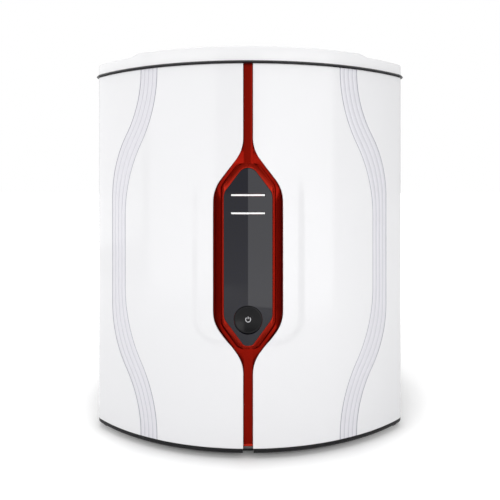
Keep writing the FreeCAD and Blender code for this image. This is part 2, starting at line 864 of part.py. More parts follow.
def ledge_outline():
    """The hole behind the lens: its outline's straight lines, moved in by the ledge."""
    wide = "lens_half - bezel_ledge"
    drop = "bezel_ledge*corner_tangent"
    low = "lens_bottom + bezel_ledge"
    high = "lens_crown - bezel_ledge"
    toe = f"{wide} - (lens_heel + {drop} - ({low}))/console_slope"
    brow = f"{wide} - ({high} - (lens_shoulder - {drop}))/console_slope"
    right = [(toe, low), (wide, f"lens_heel + {drop}"), (wide, f"lens_shoulder - {drop}"), (brow, high)]
    return right + [(f"-({x})", z) for x, z in reversed(right)]


def make_console_lens():
    """Dark window with a ridge down its middle, slots for the bars and the button's bore."""
    lens = keep(new_body("console_lens"), "console_lens")
    pad(lens, "XZ", "ridge_y", "lens_back", lens_outline("0", "0", "lens"))
    prow_cut(lens, "0", "lens_bottom - bezel_rim", "2*lens_shoulder")
    slots = [bar_outline(level, "lens_clearance") for level in ("upper_bar_level", "lower_bar_level")]
    pocket(lens, "XZ", "ridge_y", "lens_back", *slots)
    pocket(lens, "XZ", "ridge_y", "lens_back",
           ("circle", "0", "button_level", "button_radius + button_bore_gap"))


def bar_outline(level, grow):
    """A thin bar, seen from the front."""
    return rectangle(f"-(bar_half + ({grow}))", f"{level} - (bar_height/2 + ({grow}))",
                     f"bar_half + ({grow})", f"{level} + bar_height/2 + ({grow})")


def make_status_bars():
    """Two white light guides set flush in the lens."""
    bars = keep(new_body("status_bars"), "status_bars")
    for level in ("upper_bar_level", "lower_bar_level"):
        pad(bars, "XZ", "ridge_y", "lens_back", bar_outline(level, "0"))
    prow_cut(bars, "0", "lower_bar_level - bar_half", "upper_bar_level + bar_half")


def box(label, low, high):
    """A plain box between two bound corners."""
    item = doc.addObject("Part::Box", label)
    for setting, start, end in zip(("Length", "Width", "Height"), low, high):
        bind(item, setting, f"({end}) - ({start})")
    place(item, low)
    return item


def rod(label, spot, radius, length):
    """A plain upright cylinder from a bound spot."""
    item = doc.addObject("Part::Cylinder", label)
    bind(item, "Radius", radius)
    bind(item, "Height", length)
    place(item, spot)
    return item


def prism(label, spot, sides, radius, length, turn=None):
    """A regular prism from a bound spot along its axis."""
    item = doc.addObject("Part::Prism", label)
    item.Polygon = sides
    bind(item, "Circumradius", radius)
    bind(item, "Height", length)
    place(item, spot, turn)
    return item


def group(label, members):
    """Like pieces that share one node."""
    bundle = doc.addObject("Part::Compound", label)
    bundle.Links = members
    return keep(bundle, label)


def make_display():
    """Display behind the lens, the circuit board it stands on and the button's switch."""
    keep(box("display_module", ("-display_half", "lens_back", "display_bottom"),
             ("display_half", "board_front", "display_top")), "display_module")
    keep(box("console_board", ("-board_half", "board_front", "lens_bottom"),
             ("board_half", "board_front + board_thickness", "window_top + board_overlap")), "console_board")
    switch = keep(new_body("button_switch"), "button_switch")
    pad(switch, "XZ", "board_front - switch_height/2", "board_front", square(
        "0", "button_level", "switch_half"))
    pad(switch, "XZ", "board_front - switch_height", "board_front - switch_height/2", square(
        "0", "button_level", "plunger_half"))


def make_power_button():
    """Dished push button with a square stem behind and a ring symbol set in the dish."""
    button = keep(new_body("power_button"), "power_button")
    revolve(button, [
        ("0", "-button_thickness"),
        ("button_radius", "-button_thickness"),
        ("button_radius", "0"),
        ("button_floor", "-button_dish"),
        ("0", "-button_dish"),
    ])
    pad(button, "XY", "button_front - stem_end", "-button_thickness", square("0", "0", "button_stem_half"))
    place(button, ("0", "button_front", "button_level"), Rotation(ALONG_X, 90))
    symbol = keep(new_body("power_symbol"), "power_symbol")
    pad(symbol, "XY", "-button_dish", "symbol_height - button_dish", polygon("0", "0", "symbol_radius"),
        polygon("0", "0", "symbol_radius - symbol_stroke"))
    place(symbol, ("0", "button_front", "button_level"), Rotation(ALONG_X, 90))


# Doors

def make_doors():
    for name, sign in SIDES:
        make_door_shell(name, sign)
        make_door_liner(name, sign)
        make_door_pins(name, sign)
        make_strikes(name, sign)


def make_door_shell(name, sign):
    """White moulded shell: bowed, hollow behind, cut away and swollen round the console."""
    shell = keep(new_body(f"{name}_door_shell"), f"{name}_door_shell")
    pad(shell, "XY", "shell_bottom", "door_top", mirrored(
        door_wall("0", "door_depth", "strip_half", "door_back_edge"), sign))
    pocket(shell, "XZ", "-overall_depth", "0", console_cut(sign))
    doc.recompute()
    base = shell.Tip
    hollow = shell.newObject("PartDesign::Thickness", "Thickness")
    hollow.Base = (base, [f"Face{n}" for n, face in enumerate(base.Shape.Faces, start=1)
                          if faces_inside(face)])
    bind(hollow, "Value", "skin")
    hollow.Reversed = True
    combine(shell, "Fuse", swelling(name, sign))
    combine(shell, "Cut", wave_cutter(name, sign))


def console_cut(sign):
    """The door's half of the opening, closed towards the middle."""
    inside = "strip_half - moulding_overlap/2"
    outline = console_outline("0")
    return mirrored([(inside, outline[0][1]), *outline, (inside, outline[-1][1])], sign)


def combine(owner, kind, other):
    """Join another body to this one, or cut it away."""
    feature = owner.newObject("PartDesign::Boolean", kind)
    feature.Type = kind
    feature.Group = [other]
    return feature


def swelling(name, sign):
    """Low raised zone beside the capsule, bevelled outwards and tapered up and down."""
    swell = new_body(f"{name}_swelling")
    levels = (("heel_level - swell_taper", "swell_edge"), ("heel_level", "swell_rise"),
              ("shoulder_level - swell_taper", "swell_rise"), ("shoulder_level", "swell_edge"))
    sections = []
    for level, rise in levels:
        sections.append(new_sketch(swell, "XY", level))
        draw(sections[-1], mirrored(swell_plan(rise), sign))
    loft = swell.newObject("PartDesign::AdditiveLoft", "Loft")
    loft.Profile = sections[0]
    loft.Sections = sections[1:]
    loft.Ruled = True
    pocket(swell, "XZ", "-overall_depth", "0", console_cut(sign))
    return swell


def swell_plan(rise):
    """The swelling's plan at one level: a thin crescent on the bow."""
    start = "strip_half"
    crest = "swell_x - swell_bevel"
    return [
        (start, bow_y("skin/2", start), "bow_radius - skin/2", "0", "bow_centre_y"),
        (start, bow_y(f"-({rise})", start)),
        (crest, bow_y(f"-({rise})", crest), f"bow_radius + {rise}", "0", "bow_centre_y"),
        ("swell_x", bow_y("0", "swell_x")),
        ("swell_x", bow_y("skin/2", "swell_x")),
    ]


def wave_cutter(name, sign):
    """What the mould's wave band takes off the door's outer face."""
    cutter = new_body(f"{name}_wave")
    pad(cutter, "XY", "shell_bottom - skin", "door_top + skin", mirrored(
        door_wall("-skin", "wave_depth", "capsule_half", "door_back_edge"), sign))
    frame = rectangle("strip_half", "shell_bottom - 2*skin", "door_half_width + 2*skin",
                      "door_top + 2*skin")
    pocket(cutter, "XZ", "-overall_depth", "0", mirrored(frame, sign), mirrored(wave_band(), sign))
    return cutter


def wave_band():
    """The band between two wavy lines, each an S of four arcs."""
    below, above = "shell_bottom - skin - wave_depth", "door_top + skin + wave_depth"
    lines = []
    for name in ("inner", "outer"):
        middle_x = f"wave_{name}_x"
        end_x = f"(door_half_width - wave_{name}_end)"
        low, high = "(capsule_middle - wave_half_height)", "(capsule_middle + wave_half_height)"
        straight = f"wave_{name}_straight"
        shift = f"({middle_x} - {end_x})"
        radius = f"(((wave_half_height - {straight})^2 + {shift}^2)/(4*{shift}))"
        turn_x = f"({middle_x} + {end_x})/2"
        lines.append([
            (end_x, below),
            (end_x, low),
            (turn_x, f"({low} + capsule_middle - {straight})/2", radius, f"{end_x} + {radius}", low),
            (middle_x, f"capsule_middle - {straight}", radius, f"{middle_x} - {radius}",
             f"capsule_middle - {straight}"),
            (middle_x, f"capsule_middle + {straight}"),
            (turn_x, f"({high} + capsule_middle + {straight})/2", radius, f"{middle_x} - {radius}",
             f"capsule_middle + {straight}"),
            (end_x, high, radius, f"{end_x} + {radius}", high),
            (end_x, above),
        ])
    return lines[0] + backwards(lines[1])


def backwards(loop):
    """The same run of lines and arcs, drawn from its other end."""
    turned = []
    for number in range(len(loop) - 1, -1, -1):
        arc = loop[number + 1][2:] if number + 1 < len(loop) else ()
        turned.append((*loop[number][:2], *arc))
    return turned


def faces_inside(face):
    """Whether a face of the door blank is its inner side."""
    spot = face.valueAt(*[sum(pair) / 2 for pair in (face.ParameterRange[:2], face.ParameterRange[2:])])
    depth = value("door_depth")
    surface = face.Surface
    if surface.TypeId == "Part::GeomCylinder":
        radii = [value("bow_radius") - depth, value("corner_radius") - depth]
        return abs(surface.Axis.z) > 0.9 and any(abs(surface.Radius - r) < 0.01 for r in radii)
    inner_side = value("door_half_width") - depth
    return abs(abs(spot.x) - inner_side) < 0.01 and abs(face.normalAt(0, 0).x) > 0.9


def make_door_liner(name, sign):
    """Dark inner skin with the bottom trim and the lugs that grip the hinge pins."""
    liner = keep(new_body(f"{name}_door_liner"), f"{name}_door_liner")
    start = "strip_half + moulding_gap"
    pad(liner, "XY", "door_bottom", "door_top", mirrored(
        door_wall("door_depth", "liner_back", start, "door_back_edge"), sign))
    top, shoulder, heel, bottom = console_corners("liner_inset")
    pocket(liner, "XZ", "-overall_depth", "0", mirrored([
        ("0", "door_top + lid_height"), (top[0], "door_top + lid_height"), top, shoulder, heel, bottom,
        (bottom[0], "shell_bottom"), ("0", "shell_bottom")], sign))
    pad(liner, "XY", "door_bottom", "shell_bottom", mirrored(
        door_wall("trim_setback", "liner_back", start, "door_back_edge"), sign))
    chamfer(liner, "trim_bevel", on_trim_edge)
    for low, high in (("door_bottom", "shell_bottom"), ("door_top - lug_height", "door_top")):
        pad(liner, "XY", low, high, mirrored(square("pivot_x", "pivot_y", "lug_half"), sign))
        pocket(liner, "XY", low, high, mirrored(("circle", "pivot_x", "pivot_y", "pin_radius"), sign))


def on_trim_edge(edge):
    """Whether an edge runs along the foot of the trim's outer face."""
    spot = middle(edge)
    bow = math.hypot(spot.x, spot.y - value("bow_centre_y"))
    corner = math.hypot(abs(spot.x) - value("pivot_x"), spot.y - value("pivot_y"))
    outside = (near(bow, "bow_radius - trim_setback") or near(corner, "corner_radius - trim_setback")
               or near(abs(spot.x), "door_half_width - trim_setback"))
    return outside and near(spot.z, "door_bottom")


def make_door_pins(name, sign):
    """Two steel hinge pins, gripped by the lugs."""
    x = signed("pivot_x", sign)
    lower = rod(f"{name}_lower_pin", (x, "pivot_y", "foot_height - ear_thickness + seat_gap"), "pin_radius",
                "shell_bottom - foot_height + ear_thickness - seat_gap")
    upper = rod(f"{name}_upper_pin", (x, "pivot_y", "door_top - lug_height"), "pin_radius",
                "lug_height + door_gap + frame_thickness + boss_height - seat_gap")
    group(f"{name}_hinge_pins", [lower, upper])


def catch_y(offset):
    """A level inwards from the door liner, where the magnets meet the strikes."""
    return f"{bow_y('liner_back', 'magnet_centre_x + magnet_width/2')} + ({offset})"


def make_strikes(name, sign):
    """Steel strike plates on the liner, opposite the magnets."""
    plates = []
    for level in ("lower_catch_level", "upper_catch_level"):
        inner = f"{signed('magnet_centre_x', sign)} - magnet_width/2"
        plates.append(box(f"{name}_strike", (inner, catch_y("seat_gap"), f"{level} - magnet_height/2"),
                          (f"{inner} + magnet_width", catch_y("seat_gap + strike_thickness"),
                           f"{level} + magnet_height/2")))
    group(f"{name}_strike_plates", plates)


def make_magnets():
    """Four magnets on the column that hold the doors shut."""
    magnets = []
    for name, sign in SIDES:
        for level in ("lower_catch_level", "upper_catch_level"):
            inner = f"{signed('magnet_centre_x', sign)} - magnet_width/2"
            front = catch_y("seat_gap + strike_thickness + catch_gap")
            magnets.append(box(f"{name}_magnet", (inner, front, f"{level} - magnet_height/2"),
                               (f"{inner} + magnet_width", "column_front", f"{level} + magnet_height/2")))
    group("catch_magnets", magnets)


def make_bushes():
    """Four square bushes for the hinge pins, two in the tray's ears, two in the frame."""
    bushes = keep(new_body("hinge_bushes"), "hinge_bushes")
    levels = (("foot_height - ear_thickness", "foot_height"), ("frame_bottom", "frame_top + boss_height"))
    for low, high in levels:
        for sign in (-1, 1):
            pad(bushes, "XY", low, high, bush_outline(sign, "0"))
    for low, high in levels:
        for sign in (-1, 1):
            pocket(bushes, "XY", low, high, mirrored(
                ("circle", "pivot_x", "pivot_y", "pin_radius + pin_clearance"), sign))


# Purification packs

def make_packs():
    for name, sign in SIDES:
        x = signed("pack_x", sign)
        make_cradle(name, x)
        make_pack(name, x)
        make_manifold(name, x)
        make_lever(name, x)


def make_cradle(name, x):
    """Square drip tray that the pack stands in, open towards the bulkhead."""
    cradle = keep(new_body(f"{name}_pack_cradle"), f"{name}_pack_cradle")
    room = "(pack_radius + cap_clearance)"
    wall = f"({room} + cradle_wall)"
    rear = "(bulkhead_front - pack_y - seat_gap)"
    pad(cradle, "XY", "0", "cradle_height", rectangle(f"-{wall}", f"-{wall}", wall, rear))
    chamfer(cradle, "2*cradle_wall", lambda edge: runs(edge, ALONG_Z) and middle(edge).y < 0)
    pocket(cradle, "XY", "cradle_floor", "cradle_height", rectangle(f"-{room}", f"-{room}", room, rear))
    place(cradle, (x, "pack_y", "floor_top"))


def make_pack(name, x):
    """Blow-moulded pack body with bevelled heel and shoulder, and the cap on its neck."""
    pack = keep(new_body(f"{name}_pack_body"), f"{name}_pack_body")
    shoulder = "pack_height - pack_neck"
    pad(pack, "XY", "0", shoulder, polygon("0", "0", "pack_radius", DRUM_SIDES))
    chamfer(pack, "pack_bevel", lambda edge: not runs(edge, ALONG_Z))
    pad(pack, "XY", shoulder, "pack_height", polygon("0", "0", "pack_neck_radius"))
    place(pack, (x, "pack_y", "pack_foot"))
    keep(prism(f"{name}_pack_cap", (x, "pack_y", "cap_bottom"), ROUND_SIDES, "cap_radius", "cap_height"),
         f"{name}_pack_cap")


def make_manifold(name, x):
    """Docking head on the bulkhead, with the socket for the cap and two hinge stubs."""
    head = keep(new_body(f"{name}_manifold"), f"{name}_manifold")
    pad(head, "XY", "manifold_bottom", "manifold_top", rectangle(
        "-manifold_half", "manifold_front", "manifold_half", "bulkhead_front"))
    chamfer(head, "manifold_bevel", lambda edge: runs(edge, ALONG_Z) and near(
        middle(edge).y, "manifold_front"))
    pocket(head, "XY", "manifold_bottom", "cap_top", square("0", "pack_y", "cap_radius + cap_clearance"))
    reach = "manifold_half + lever_gap + lever_arm"
    for start, end in ((f"-({reach})", "-manifold_half"), ("manifold_half", reach)):
        pad(head, "YZ", start, end, ("circle", "lever_pin_y", "lever_pin_z", "lever_pin_radius"))
    place(head, (x, "0", "0"))


def make_lever(name, x):
    """U-shaped lock lever that turns on the manifold's stubs."""
    lever = keep(new_body(f"{name}_lock_lever"), f"{name}_lock_lever")
    inner = "manifold_half + lever_gap"
    outer = f"{inner} + lever_arm"
    inner_y = "lever_pin_y - lever_inner_reach"
    outer_y = "lever_pin_y - lever_outer_reach"
    eye_y = "lever_pin_y + lever_eye"
    pad(lever, "XY", "lever_pin_z - lever_height/2", "lever_pin_z + lever_height/2", [
        (outer, eye_y), (inner, eye_y), (inner, inner_y), (f"-({inner})", inner_y),
        (f"-({inner})", eye_y), (f"-({outer})", eye_y), (f"-({outer})", outer_y), (outer, outer_y)])
    chamfer(lever, "lever_bevel", lambda edge: runs(edge, ALONG_Z) and near(middle(edge).y, outer_y))
    for start, end in ((f"-({outer})", f"-({inner})"), (inner, outer)):
        pocket(lever, "YZ", start, end, (
            "circle", "lever_pin_y", "lever_pin_z", "lever_pin_radius + pin_clearance"))
    place(lever, (x, "0", "0"))


# Works behind the bulkhead

def make_lamp():
    """Ultraviolet lamp chamber: a sealed steel vessel, its end nuts and two saddles."""
    keep(prism("uv_lamp_housing", ("lamp_x", "lamp_y", "lamp_bottom"), DRUM_SIDES, "lamp_radius",
               "lamp_length"), "uv_lamp_housing")
    nuts = [prism("uv_end_nut", ("lamp_x", "lamp_y", level), NUT_SIDES, "lamp_cap_radius", "lamp_cap_height")
            for level in ("lamp_bottom - lamp_cap_height", "lamp_bottom + lamp_length")]
    group("uv_end_caps", nuts)
    clamps = keep(new_body("uv_clamps"), "uv_clamps")
    for level in ("clamp_inset", "lamp_length - clamp_inset - clamp_height"):
        pad(clamps, "XY", level, f"{level} + clamp_height", rectangle(
            "-clamp_half", "bulkhead_rear - lamp_y", "clamp_half", "0"))
    pocket(clamps, "XY", "0", "lamp_length", polygon("0", "0", "lamp_radius + lamp_clearance", DRUM_SIDES))
    place(clamps, ("lamp_x", "lamp_y", "lamp_bottom"))


def make_pump():
    """Booster pump: motor, head and the bracket that holds it on the tray."""
    keep(prism("pump_motor", ("pump_x", "pump_head_rear", "pump_level"), DRUM_SIDES, "pump_radius",
               "pump_length", TURN_TO_REAR), "pump_motor")
    head = keep(new_body("pump_head"), "pump_head")
    half = "pump_head_size/2"
    pad(head, "XZ", "pump_head_front", "pump_head_rear", rectangle(
        f"pump_x - {half}", f"pump_level - {half}", f"pump_x + {half}", f"pump_level + {half}"))
    chamfer(head, "pump_head_bevel", lambda edge: runs(edge, ALONG_Y))
    bracket = keep(new_body("pump_bracket"), "pump_bracket")
    pad(bracket, "XZ", "pump_head_rear + seat_gap", "pump_head_rear + pump_length/2", rectangle(
        "pump_x - bracket_half", "floor_top", "pump_x + bracket_half", "pump_level - pump_radius/2"))
    pocket(bracket, "XZ", "pump_head_rear", "pump_head_rear + pump_length/2",
           polygon("pump_x", "pump_level", "pump_radius + lamp_clearance", DRUM_SIDES))


def make_regulator_and_valve():
    """Pressure regulator on the feed line, and the drain's solenoid valve."""
    regulator = keep(new_body("pressure_regulator"), "pressure_regulator")
    pad(regulator, "XY", "0", "regulator_block", square("0", "0", "regulator_half"))
    chamfer(regulator, "regulator_bevel", lambda edge: runs(edge, ALONG_Z))
    pad(regulator, "XY", "regulator_block", "regulator_block + regulator_dome",
        polygon("0", "0", "regulator_dome_radius"))
    place(regulator, ("feed_port_x", "regulator_y", "floor_top"))
    valve = keep(new_body("drain_valve"), "drain_valve")
    pad(valve, "XZ", "port_inner_end - valve_length", "port_inner_end", square(
        "drain_port_x", "port_level", "valve_half"))
    middle_y = "port_inner_end - valve_length/2"
    pad(valve, "XY", "port_level + valve_half", "port_level + valve_half + valve_coil_height",
        polygon("drain_port_x", middle_y, "valve_coil_radius"))
    pad(valve, "XY", "floor_top", "port_level - valve_half", square(
        "drain_port_x", middle_y, "valve_coil_radius/2"))


def make_quality_cell():
    """Resistivity cell on the rear of the bulkhead."""
    keep(prism("quality_cell", ("cell_x", "bulkhead_rear", "cell_level"), ROUND_SIDES, "cell_radius",
               "cell_length", TURN_TO_REAR), "quality_cell")


def make_electrics():
    """Power supply on the tray and the control board on posts from the left side."""
    keep(box("power_supply", ("supply_x", "supply_front", "floor_top"),
             ("supply_x + supply_width", "rear_inner - inlet_body_depth - seat_gap",
              "floor_top + supply_height")), "power_supply")
    board_x = "control_board_gap - side_inner"
    front = "bulkhead_rear + control_board_gap"
    keep(box("control_board", (board_x, front, "control_board_level"),
             (f"{board_x} + board_thickness", f"{front} + control_board_depth",
              "control_board_level + control_board_height")), "control_board")
    posts = []
    for y in (f"{front} + 2*board_post_radius", f"{front} + control_board_depth - 2*board_post_radius"):
        for z in ("control_board_level + 2*board_post_radius",
                  "control_board_level + control_board_height - 2*board_post_radius"):
            posts.append(prism("board_post", ("-side_inner", y, z), NUT_SIDES, "board_post_radius",
                               "control_board_gap", Rotation(ALONG_Y, 90)))
    group("board_posts", posts)


def tube(label, corners):
    """Straight tubes from corner to corner, with a push-in elbow at each bend."""
    pieces = []
    for start, end in zip(corners, corners[1:]):
        axis = next(n for n in range(3) if abs(value(f"({end[n]}) - ({start[n]})")) > value("seat_gap"))
        forwards = value(f"({end[axis]}) - ({start[axis]})") > 0
        low, high = (start, end) if forwards else (end, start)
        turn = (Rotation(ALONG_Y, 90), TURN_TO_REAR, None)[axis]
        pieces.append(prism(f"{label}_run", low, ROUND_SIDES, "tube_radius",
                            f"({high[axis]}) - ({low[axis]})", turn))
    for spot in corners[1:-1]:
        pieces.append(box(f"{label}_elbow", [f"{part} - elbow_half" for part in spot],
                          [f"{part} + elbow_half" for part in spot]))
    if len(pieces) == 1:
        return keep(pieces[0], label)
    whole = doc.addObject("Part::MultiFuse", label)
    whole.Shapes = pieces
    return keep(whole, label)


def make_tubes():
    """Tubes between the ports, the regulator, the pump and the lamp chamber."""
    tube("feed_tube", [("feed_port_x", "regulator_y + regulator_half", "port_level"),
                       ("feed_port_x", "port_inner_end", "port_level")])
    pump_middle = "pump_head_front + pump_head_depth/2"
    tube("suction_tube", [("feed_port_x", "regulator_y - regulator_half", "port_level"),
                          ("feed_port_x", pump_middle, "port_level"),
                          ("pump_x - pump_head_size/2", pump_middle, "port_level")])
    tube("pump_tube", [("pump_x", pump_middle, "pump_level + pump_head_size/2"),
                       ("pump_x", pump_middle, "cell_level"),
                       ("pump_x", "bulkhead_rear", "cell_level")])
    lamp_top = "lamp_bottom + lamp_length + lamp_cap_height"
    drop_y = "port_inner_end - tube_rise"
    tube("product_tube", [("lamp_x", "lamp_y", lamp_top), ("lamp_x", "lamp_y", f"{lamp_top} + tube_rise"),
                          ("lamp_x", drop_y, f"{lamp_top} + tube_rise"), ("lamp_x", drop_y, "port_level"),
                          ("lamp_x", "port_inner_end", "port_level")])


def make_ports():
    """Push-in tube ports in the back panel."""
    for name, x in port_spots().items():
        port = keep(new_body(f"{name}_port"), f"{name}_port")
        outside = "body_rear + port_reach"
        pad(port, "XZ", "port_inner_end", "body_rear", square(x, "port_level", "port_barrel_half"))
        pad(port, "XZ", "body_rear", outside, square(x, "port_level", "port_flange_half"))
        chamfer(port, "port_bevel", lambda edge: runs(edge, ALONG_Y) and middle(edge).y > value(
            "body_rear"))
        pocket(port, "XZ", f"{outside} - port_depth", outside,
               ("circle", x, "port_level", "port_bore_radius"))


def make_mains_inlet():
    """Three-blade mains inlet, bare of any cord."""
    inlet = keep(new_body("mains_inlet"), "mains_inlet")
    outside = "body_rear + inlet_flange"
    pad(inlet, "XZ", "body_rear", outside, inlet_outline("inlet_half_width", "inlet_half_height"))
    chamfer(inlet, "inlet_flange", lambda edge: runs(edge, ALONG_Y))
    socket_wall = "inlet_flange/2"
    pad(inlet, "XZ", f"{outside} - inlet_body_depth", "body_rear", inlet_outline(
        f"inlet_socket_half_width + {socket_wall}", f"inlet_socket_half_height + {socket_wall}"))
    pocket(inlet, "XZ", f"{outside} - inlet_socket_depth", outside, inlet_outline(
        "inlet_socket_half_width", "inlet_socket_half_height"))
    blades = []
    for number, rise in ((-1, "-"), (0, "+"), (1, "-")):
        x = f"inlet_x + ({number})*blade_pitch"
        z = f"inlet_level {rise} blade_half_height"
        blades.append(rectangle(f"{x} - blade_half_width", f"{z} - blade_half_height",
                                f"{x} + blade_half_width", f"{z} + blade_half_height"))
    floor = f"{outside} - inlet_socket_depth"
    pad(inlet, "XZ", floor, f"{floor} + blade_length", *blades)


make_base_tray()
make_rubber_feet()
make_side_panels()
make_back_panel()
make_top_frame()
make_lid()
make_bulkhead()
make_spine_column()
make_spine_moulding()
make_console_bezel()
make_console_lens()
make_status_bars()
make_display()
make_power_button()
make_doors()
make_magnets()
make_bushes()
make_packs()
make_lamp()
make_pump()
make_regulator_and_valve()
make_quality_cell()
make_electrics()
make_tubes()
make_ports()
make_mains_inlet()
doc.recompute()

faults = []
for item in doc.Objects:
    if "Invalid" in item.State or "Error" in item.State:
        faults.append(f"{item.Name} failed: {item.State}")
for item in doc.Objects:
    if item.TypeId == "PartDesign::Pocket" and item.BaseFeature is not None and not faults:
        if item.Shape.Volume > item.BaseFeature.Shape.Volume - 1e-3:
            faults.append(f"{item.Name} cuts nothing")
for item in nodes:
    if item.Shape.isNull() or not item.Shape.isValid() or not item.Shape.Solids:
        faults.append(f"{item.Label} has no valid solid")
if faults:
    raise RuntimeError("; ".join(faults))

os.makedirs("parts", exist_ok=True)
for item in nodes:
    item.Shape.exportStep(os.path.join("parts", f"{item.Label}.step"))
print(f"{len(nodes)} sub-parts written")
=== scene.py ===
import math

import bmesh
import bpy
import numpy as np
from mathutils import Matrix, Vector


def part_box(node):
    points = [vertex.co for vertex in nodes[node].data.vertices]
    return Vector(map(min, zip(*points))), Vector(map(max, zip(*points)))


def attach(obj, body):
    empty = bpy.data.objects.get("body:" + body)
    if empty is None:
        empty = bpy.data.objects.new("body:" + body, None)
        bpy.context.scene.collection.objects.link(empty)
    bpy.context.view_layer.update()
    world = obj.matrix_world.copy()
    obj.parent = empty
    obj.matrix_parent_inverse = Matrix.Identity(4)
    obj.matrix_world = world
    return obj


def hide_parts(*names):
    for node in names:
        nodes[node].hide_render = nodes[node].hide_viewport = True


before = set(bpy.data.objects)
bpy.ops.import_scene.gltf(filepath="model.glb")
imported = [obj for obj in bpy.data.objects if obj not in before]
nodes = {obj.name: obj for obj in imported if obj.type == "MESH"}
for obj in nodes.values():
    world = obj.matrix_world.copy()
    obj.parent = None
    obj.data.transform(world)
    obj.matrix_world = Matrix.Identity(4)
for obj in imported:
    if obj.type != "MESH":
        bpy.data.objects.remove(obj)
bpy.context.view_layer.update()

# Door shells
# Two glossy white mouldings with a bowed face, a swelling round the console and a band of five
# fine grooves that waves down each side; the grooves are also painted grey, a painted shade.
# Injection moulded ABS, clipped over the dark liners.

MM = 0.001
BOW_RADIUS, BOW_CENTRE = 260.0, 74.4
CORNER_RADIUS, PIVOT_X, PIVOT_Y = 16.0, 165.6, -104.8
SPLIT_HALF, CONSOLE_HALF, CONSOLE_MIDDLE = 5.15, 36.4, 213.3
SIDE_END, SLOPE_START, SLOPE_END, SPLIT_START = 57.77, 80.81, 101.39, 124.43
CONSOLE_ARC, SLOPE_HEIGHT, SLOPE_ORIGIN = 38.0, 41.0, 70.6
CONSOLE_SLOPE = SLOPE_HEIGHT / (CONSOLE_HALF - SPLIT_HALF)
BOW_LENGTH = BOW_RADIUS * math.asin(PIVOT_X / (BOW_RADIUS - CORNER_RADIUS))
CORNER_LENGTH = CORNER_RADIUS * (math.pi / 2 - BOW_LENGTH / BOW_RADIUS)
RETURN_LENGTH, SHELL_BACK, LIP_RADIUS = 12.0, -5.9, 0.8
SWELL_HALF, SWELL_BELOW, SWELL_TOP, SWELL_REACH = 55.8, 91.0, 322.0, 80.0
SWELL_RISE, SWELL_CORNER, SWELL_FLANK, SWELL_FADE = 3.5, 26.0, 10.4, 70.0
BAND_INNER_EDGE, BAND_OUTER_EDGE = (99.9, 140.1, 40.0), (119.5, 158.0, 62.0)
BAND_HALF_HEIGHT, BAND_MARGIN, BAND_SINK = 200.0, 0.8, -0.12
WAVE_LINES, LINE_HALF, LINE_SHOULDER = 5, 0.3, 0.62


def plan_point(run, lift):
    """The doors' plan at a run from the middle, lifted outwards from the face."""
    if run <= BOW_LENGTH:
        turn = run / BOW_RADIUS
        reach = BOW_RADIUS + lift
        return reach * math.sin(turn), BOW_CENTRE - reach * math.cos(turn)
    turn = min(BOW_LENGTH / BOW_RADIUS + (run - BOW_LENGTH) / CORNER_RADIUS, math.pi / 2)
    reach = CORNER_RADIUS + lift
    beyond = max(0.0, run - BOW_LENGTH - CORNER_LENGTH)
    return PIVOT_X + reach * math.sin(turn), PIVOT_Y - reach * math.cos(turn) + beyond


def bow_run(x):
    """The run along the bow from the middle to a half width."""
    return BOW_RADIUS * math.asin(x / BOW_RADIUS)


def console_edge(z):
    """Half width of the opening between the doors: straight, then an arc, a slope and an arc."""
    away = abs(z - CONSOLE_MIDDLE)
    if away < SIDE_END:
        return CONSOLE_HALF
    if away < SLOPE_START:
        return CONSOLE_HALF - CONSOLE_ARC + math.sqrt(CONSOLE_ARC ** 2 - (away - SIDE_END) ** 2)
    if away < SLOPE_END:
        return CONSOLE_HALF - (away - SLOPE_ORIGIN) / CONSOLE_SLOPE
    if away < SPLIT_START:
        return SPLIT_HALF + CONSOLE_ARC - math.sqrt(CONSOLE_ARC ** 2 - (SPLIT_START - away) ** 2)
    return SPLIT_HALF


def wave_edge(z, end, middle, straight):
    """One edge of the wave band: upright in the middle, an S of two arcs above and below."""
    away = abs(z - CONSOLE_MIDDLE)
    shift = middle - end
    radius = ((BAND_HALF_HEIGHT - straight) ** 2 + shift ** 2) / (4 * shift)
    if away < straight:
        return middle
    if away < (BAND_HALF_HEIGHT + straight) / 2:
        return middle - radius + math.sqrt(radius ** 2 - (away - straight) ** 2)
    if away < BAND_HALF_HEIGHT:
        return end + radius - math.sqrt(radius ** 2 - (BAND_HALF_HEIGHT - away) ** 2)
    return end


def ease(t):
    """From 0 to 1 with a level start and end."""
    t = min(1.0, max(0.0, t))
    return t * t * (3 - 2 * t)


def swelling(x, z):
    """Rise of the face beside the console: a plateau with a rounded heel that fades upwards."""
    aside = max(x - (SWELL_HALF - SWELL_CORNER), 0.0)
    below = max(CONSOLE_MIDDLE - SWELL_BELOW + SWELL_CORNER - z, 0.0)
    flank = (math.hypot(aside, below) - SWELL_CORNER + SWELL_FLANK / 2) / SWELL_FLANK
    return SWELL_RISE * (1 - ease(flank)) * ease((SWELL_TOP - z) / SWELL_FADE)


def shade_smooth(mesh, angle):
    """Round the shading over every edge that bends less than an angle in degrees."""
    mesh.polygons.foreach_set("use_smooth", [True] * len(mesh.polygons))
    mesh.set_sharp_from_angle(angle=math.radians(angle))


def smooth_mesh(name, points, faces, angle=35):
    """A mesh in metres from points in millimetres, rounded over edges below an angle."""
    mesh = bpy.data.meshes.new(name)
    mesh.from_pydata([[c * MM for c in p] for p in points], [], faces)
    mesh.validate()
    shade_smooth(mesh, angle)
    return mesh


def add_piece(name, mesh, body, slot, material, *replaced):
    """Hang a finished mesh on its body and give it its finish."""
    piece = bpy.data.objects.new(name, mesh)
    bpy.context.collection.objects.link(piece)
    mesh.materials.clear()
    mesh.materials.append(material)
    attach(piece, body)
    if replaced:
        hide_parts(*replaced)
    return piece


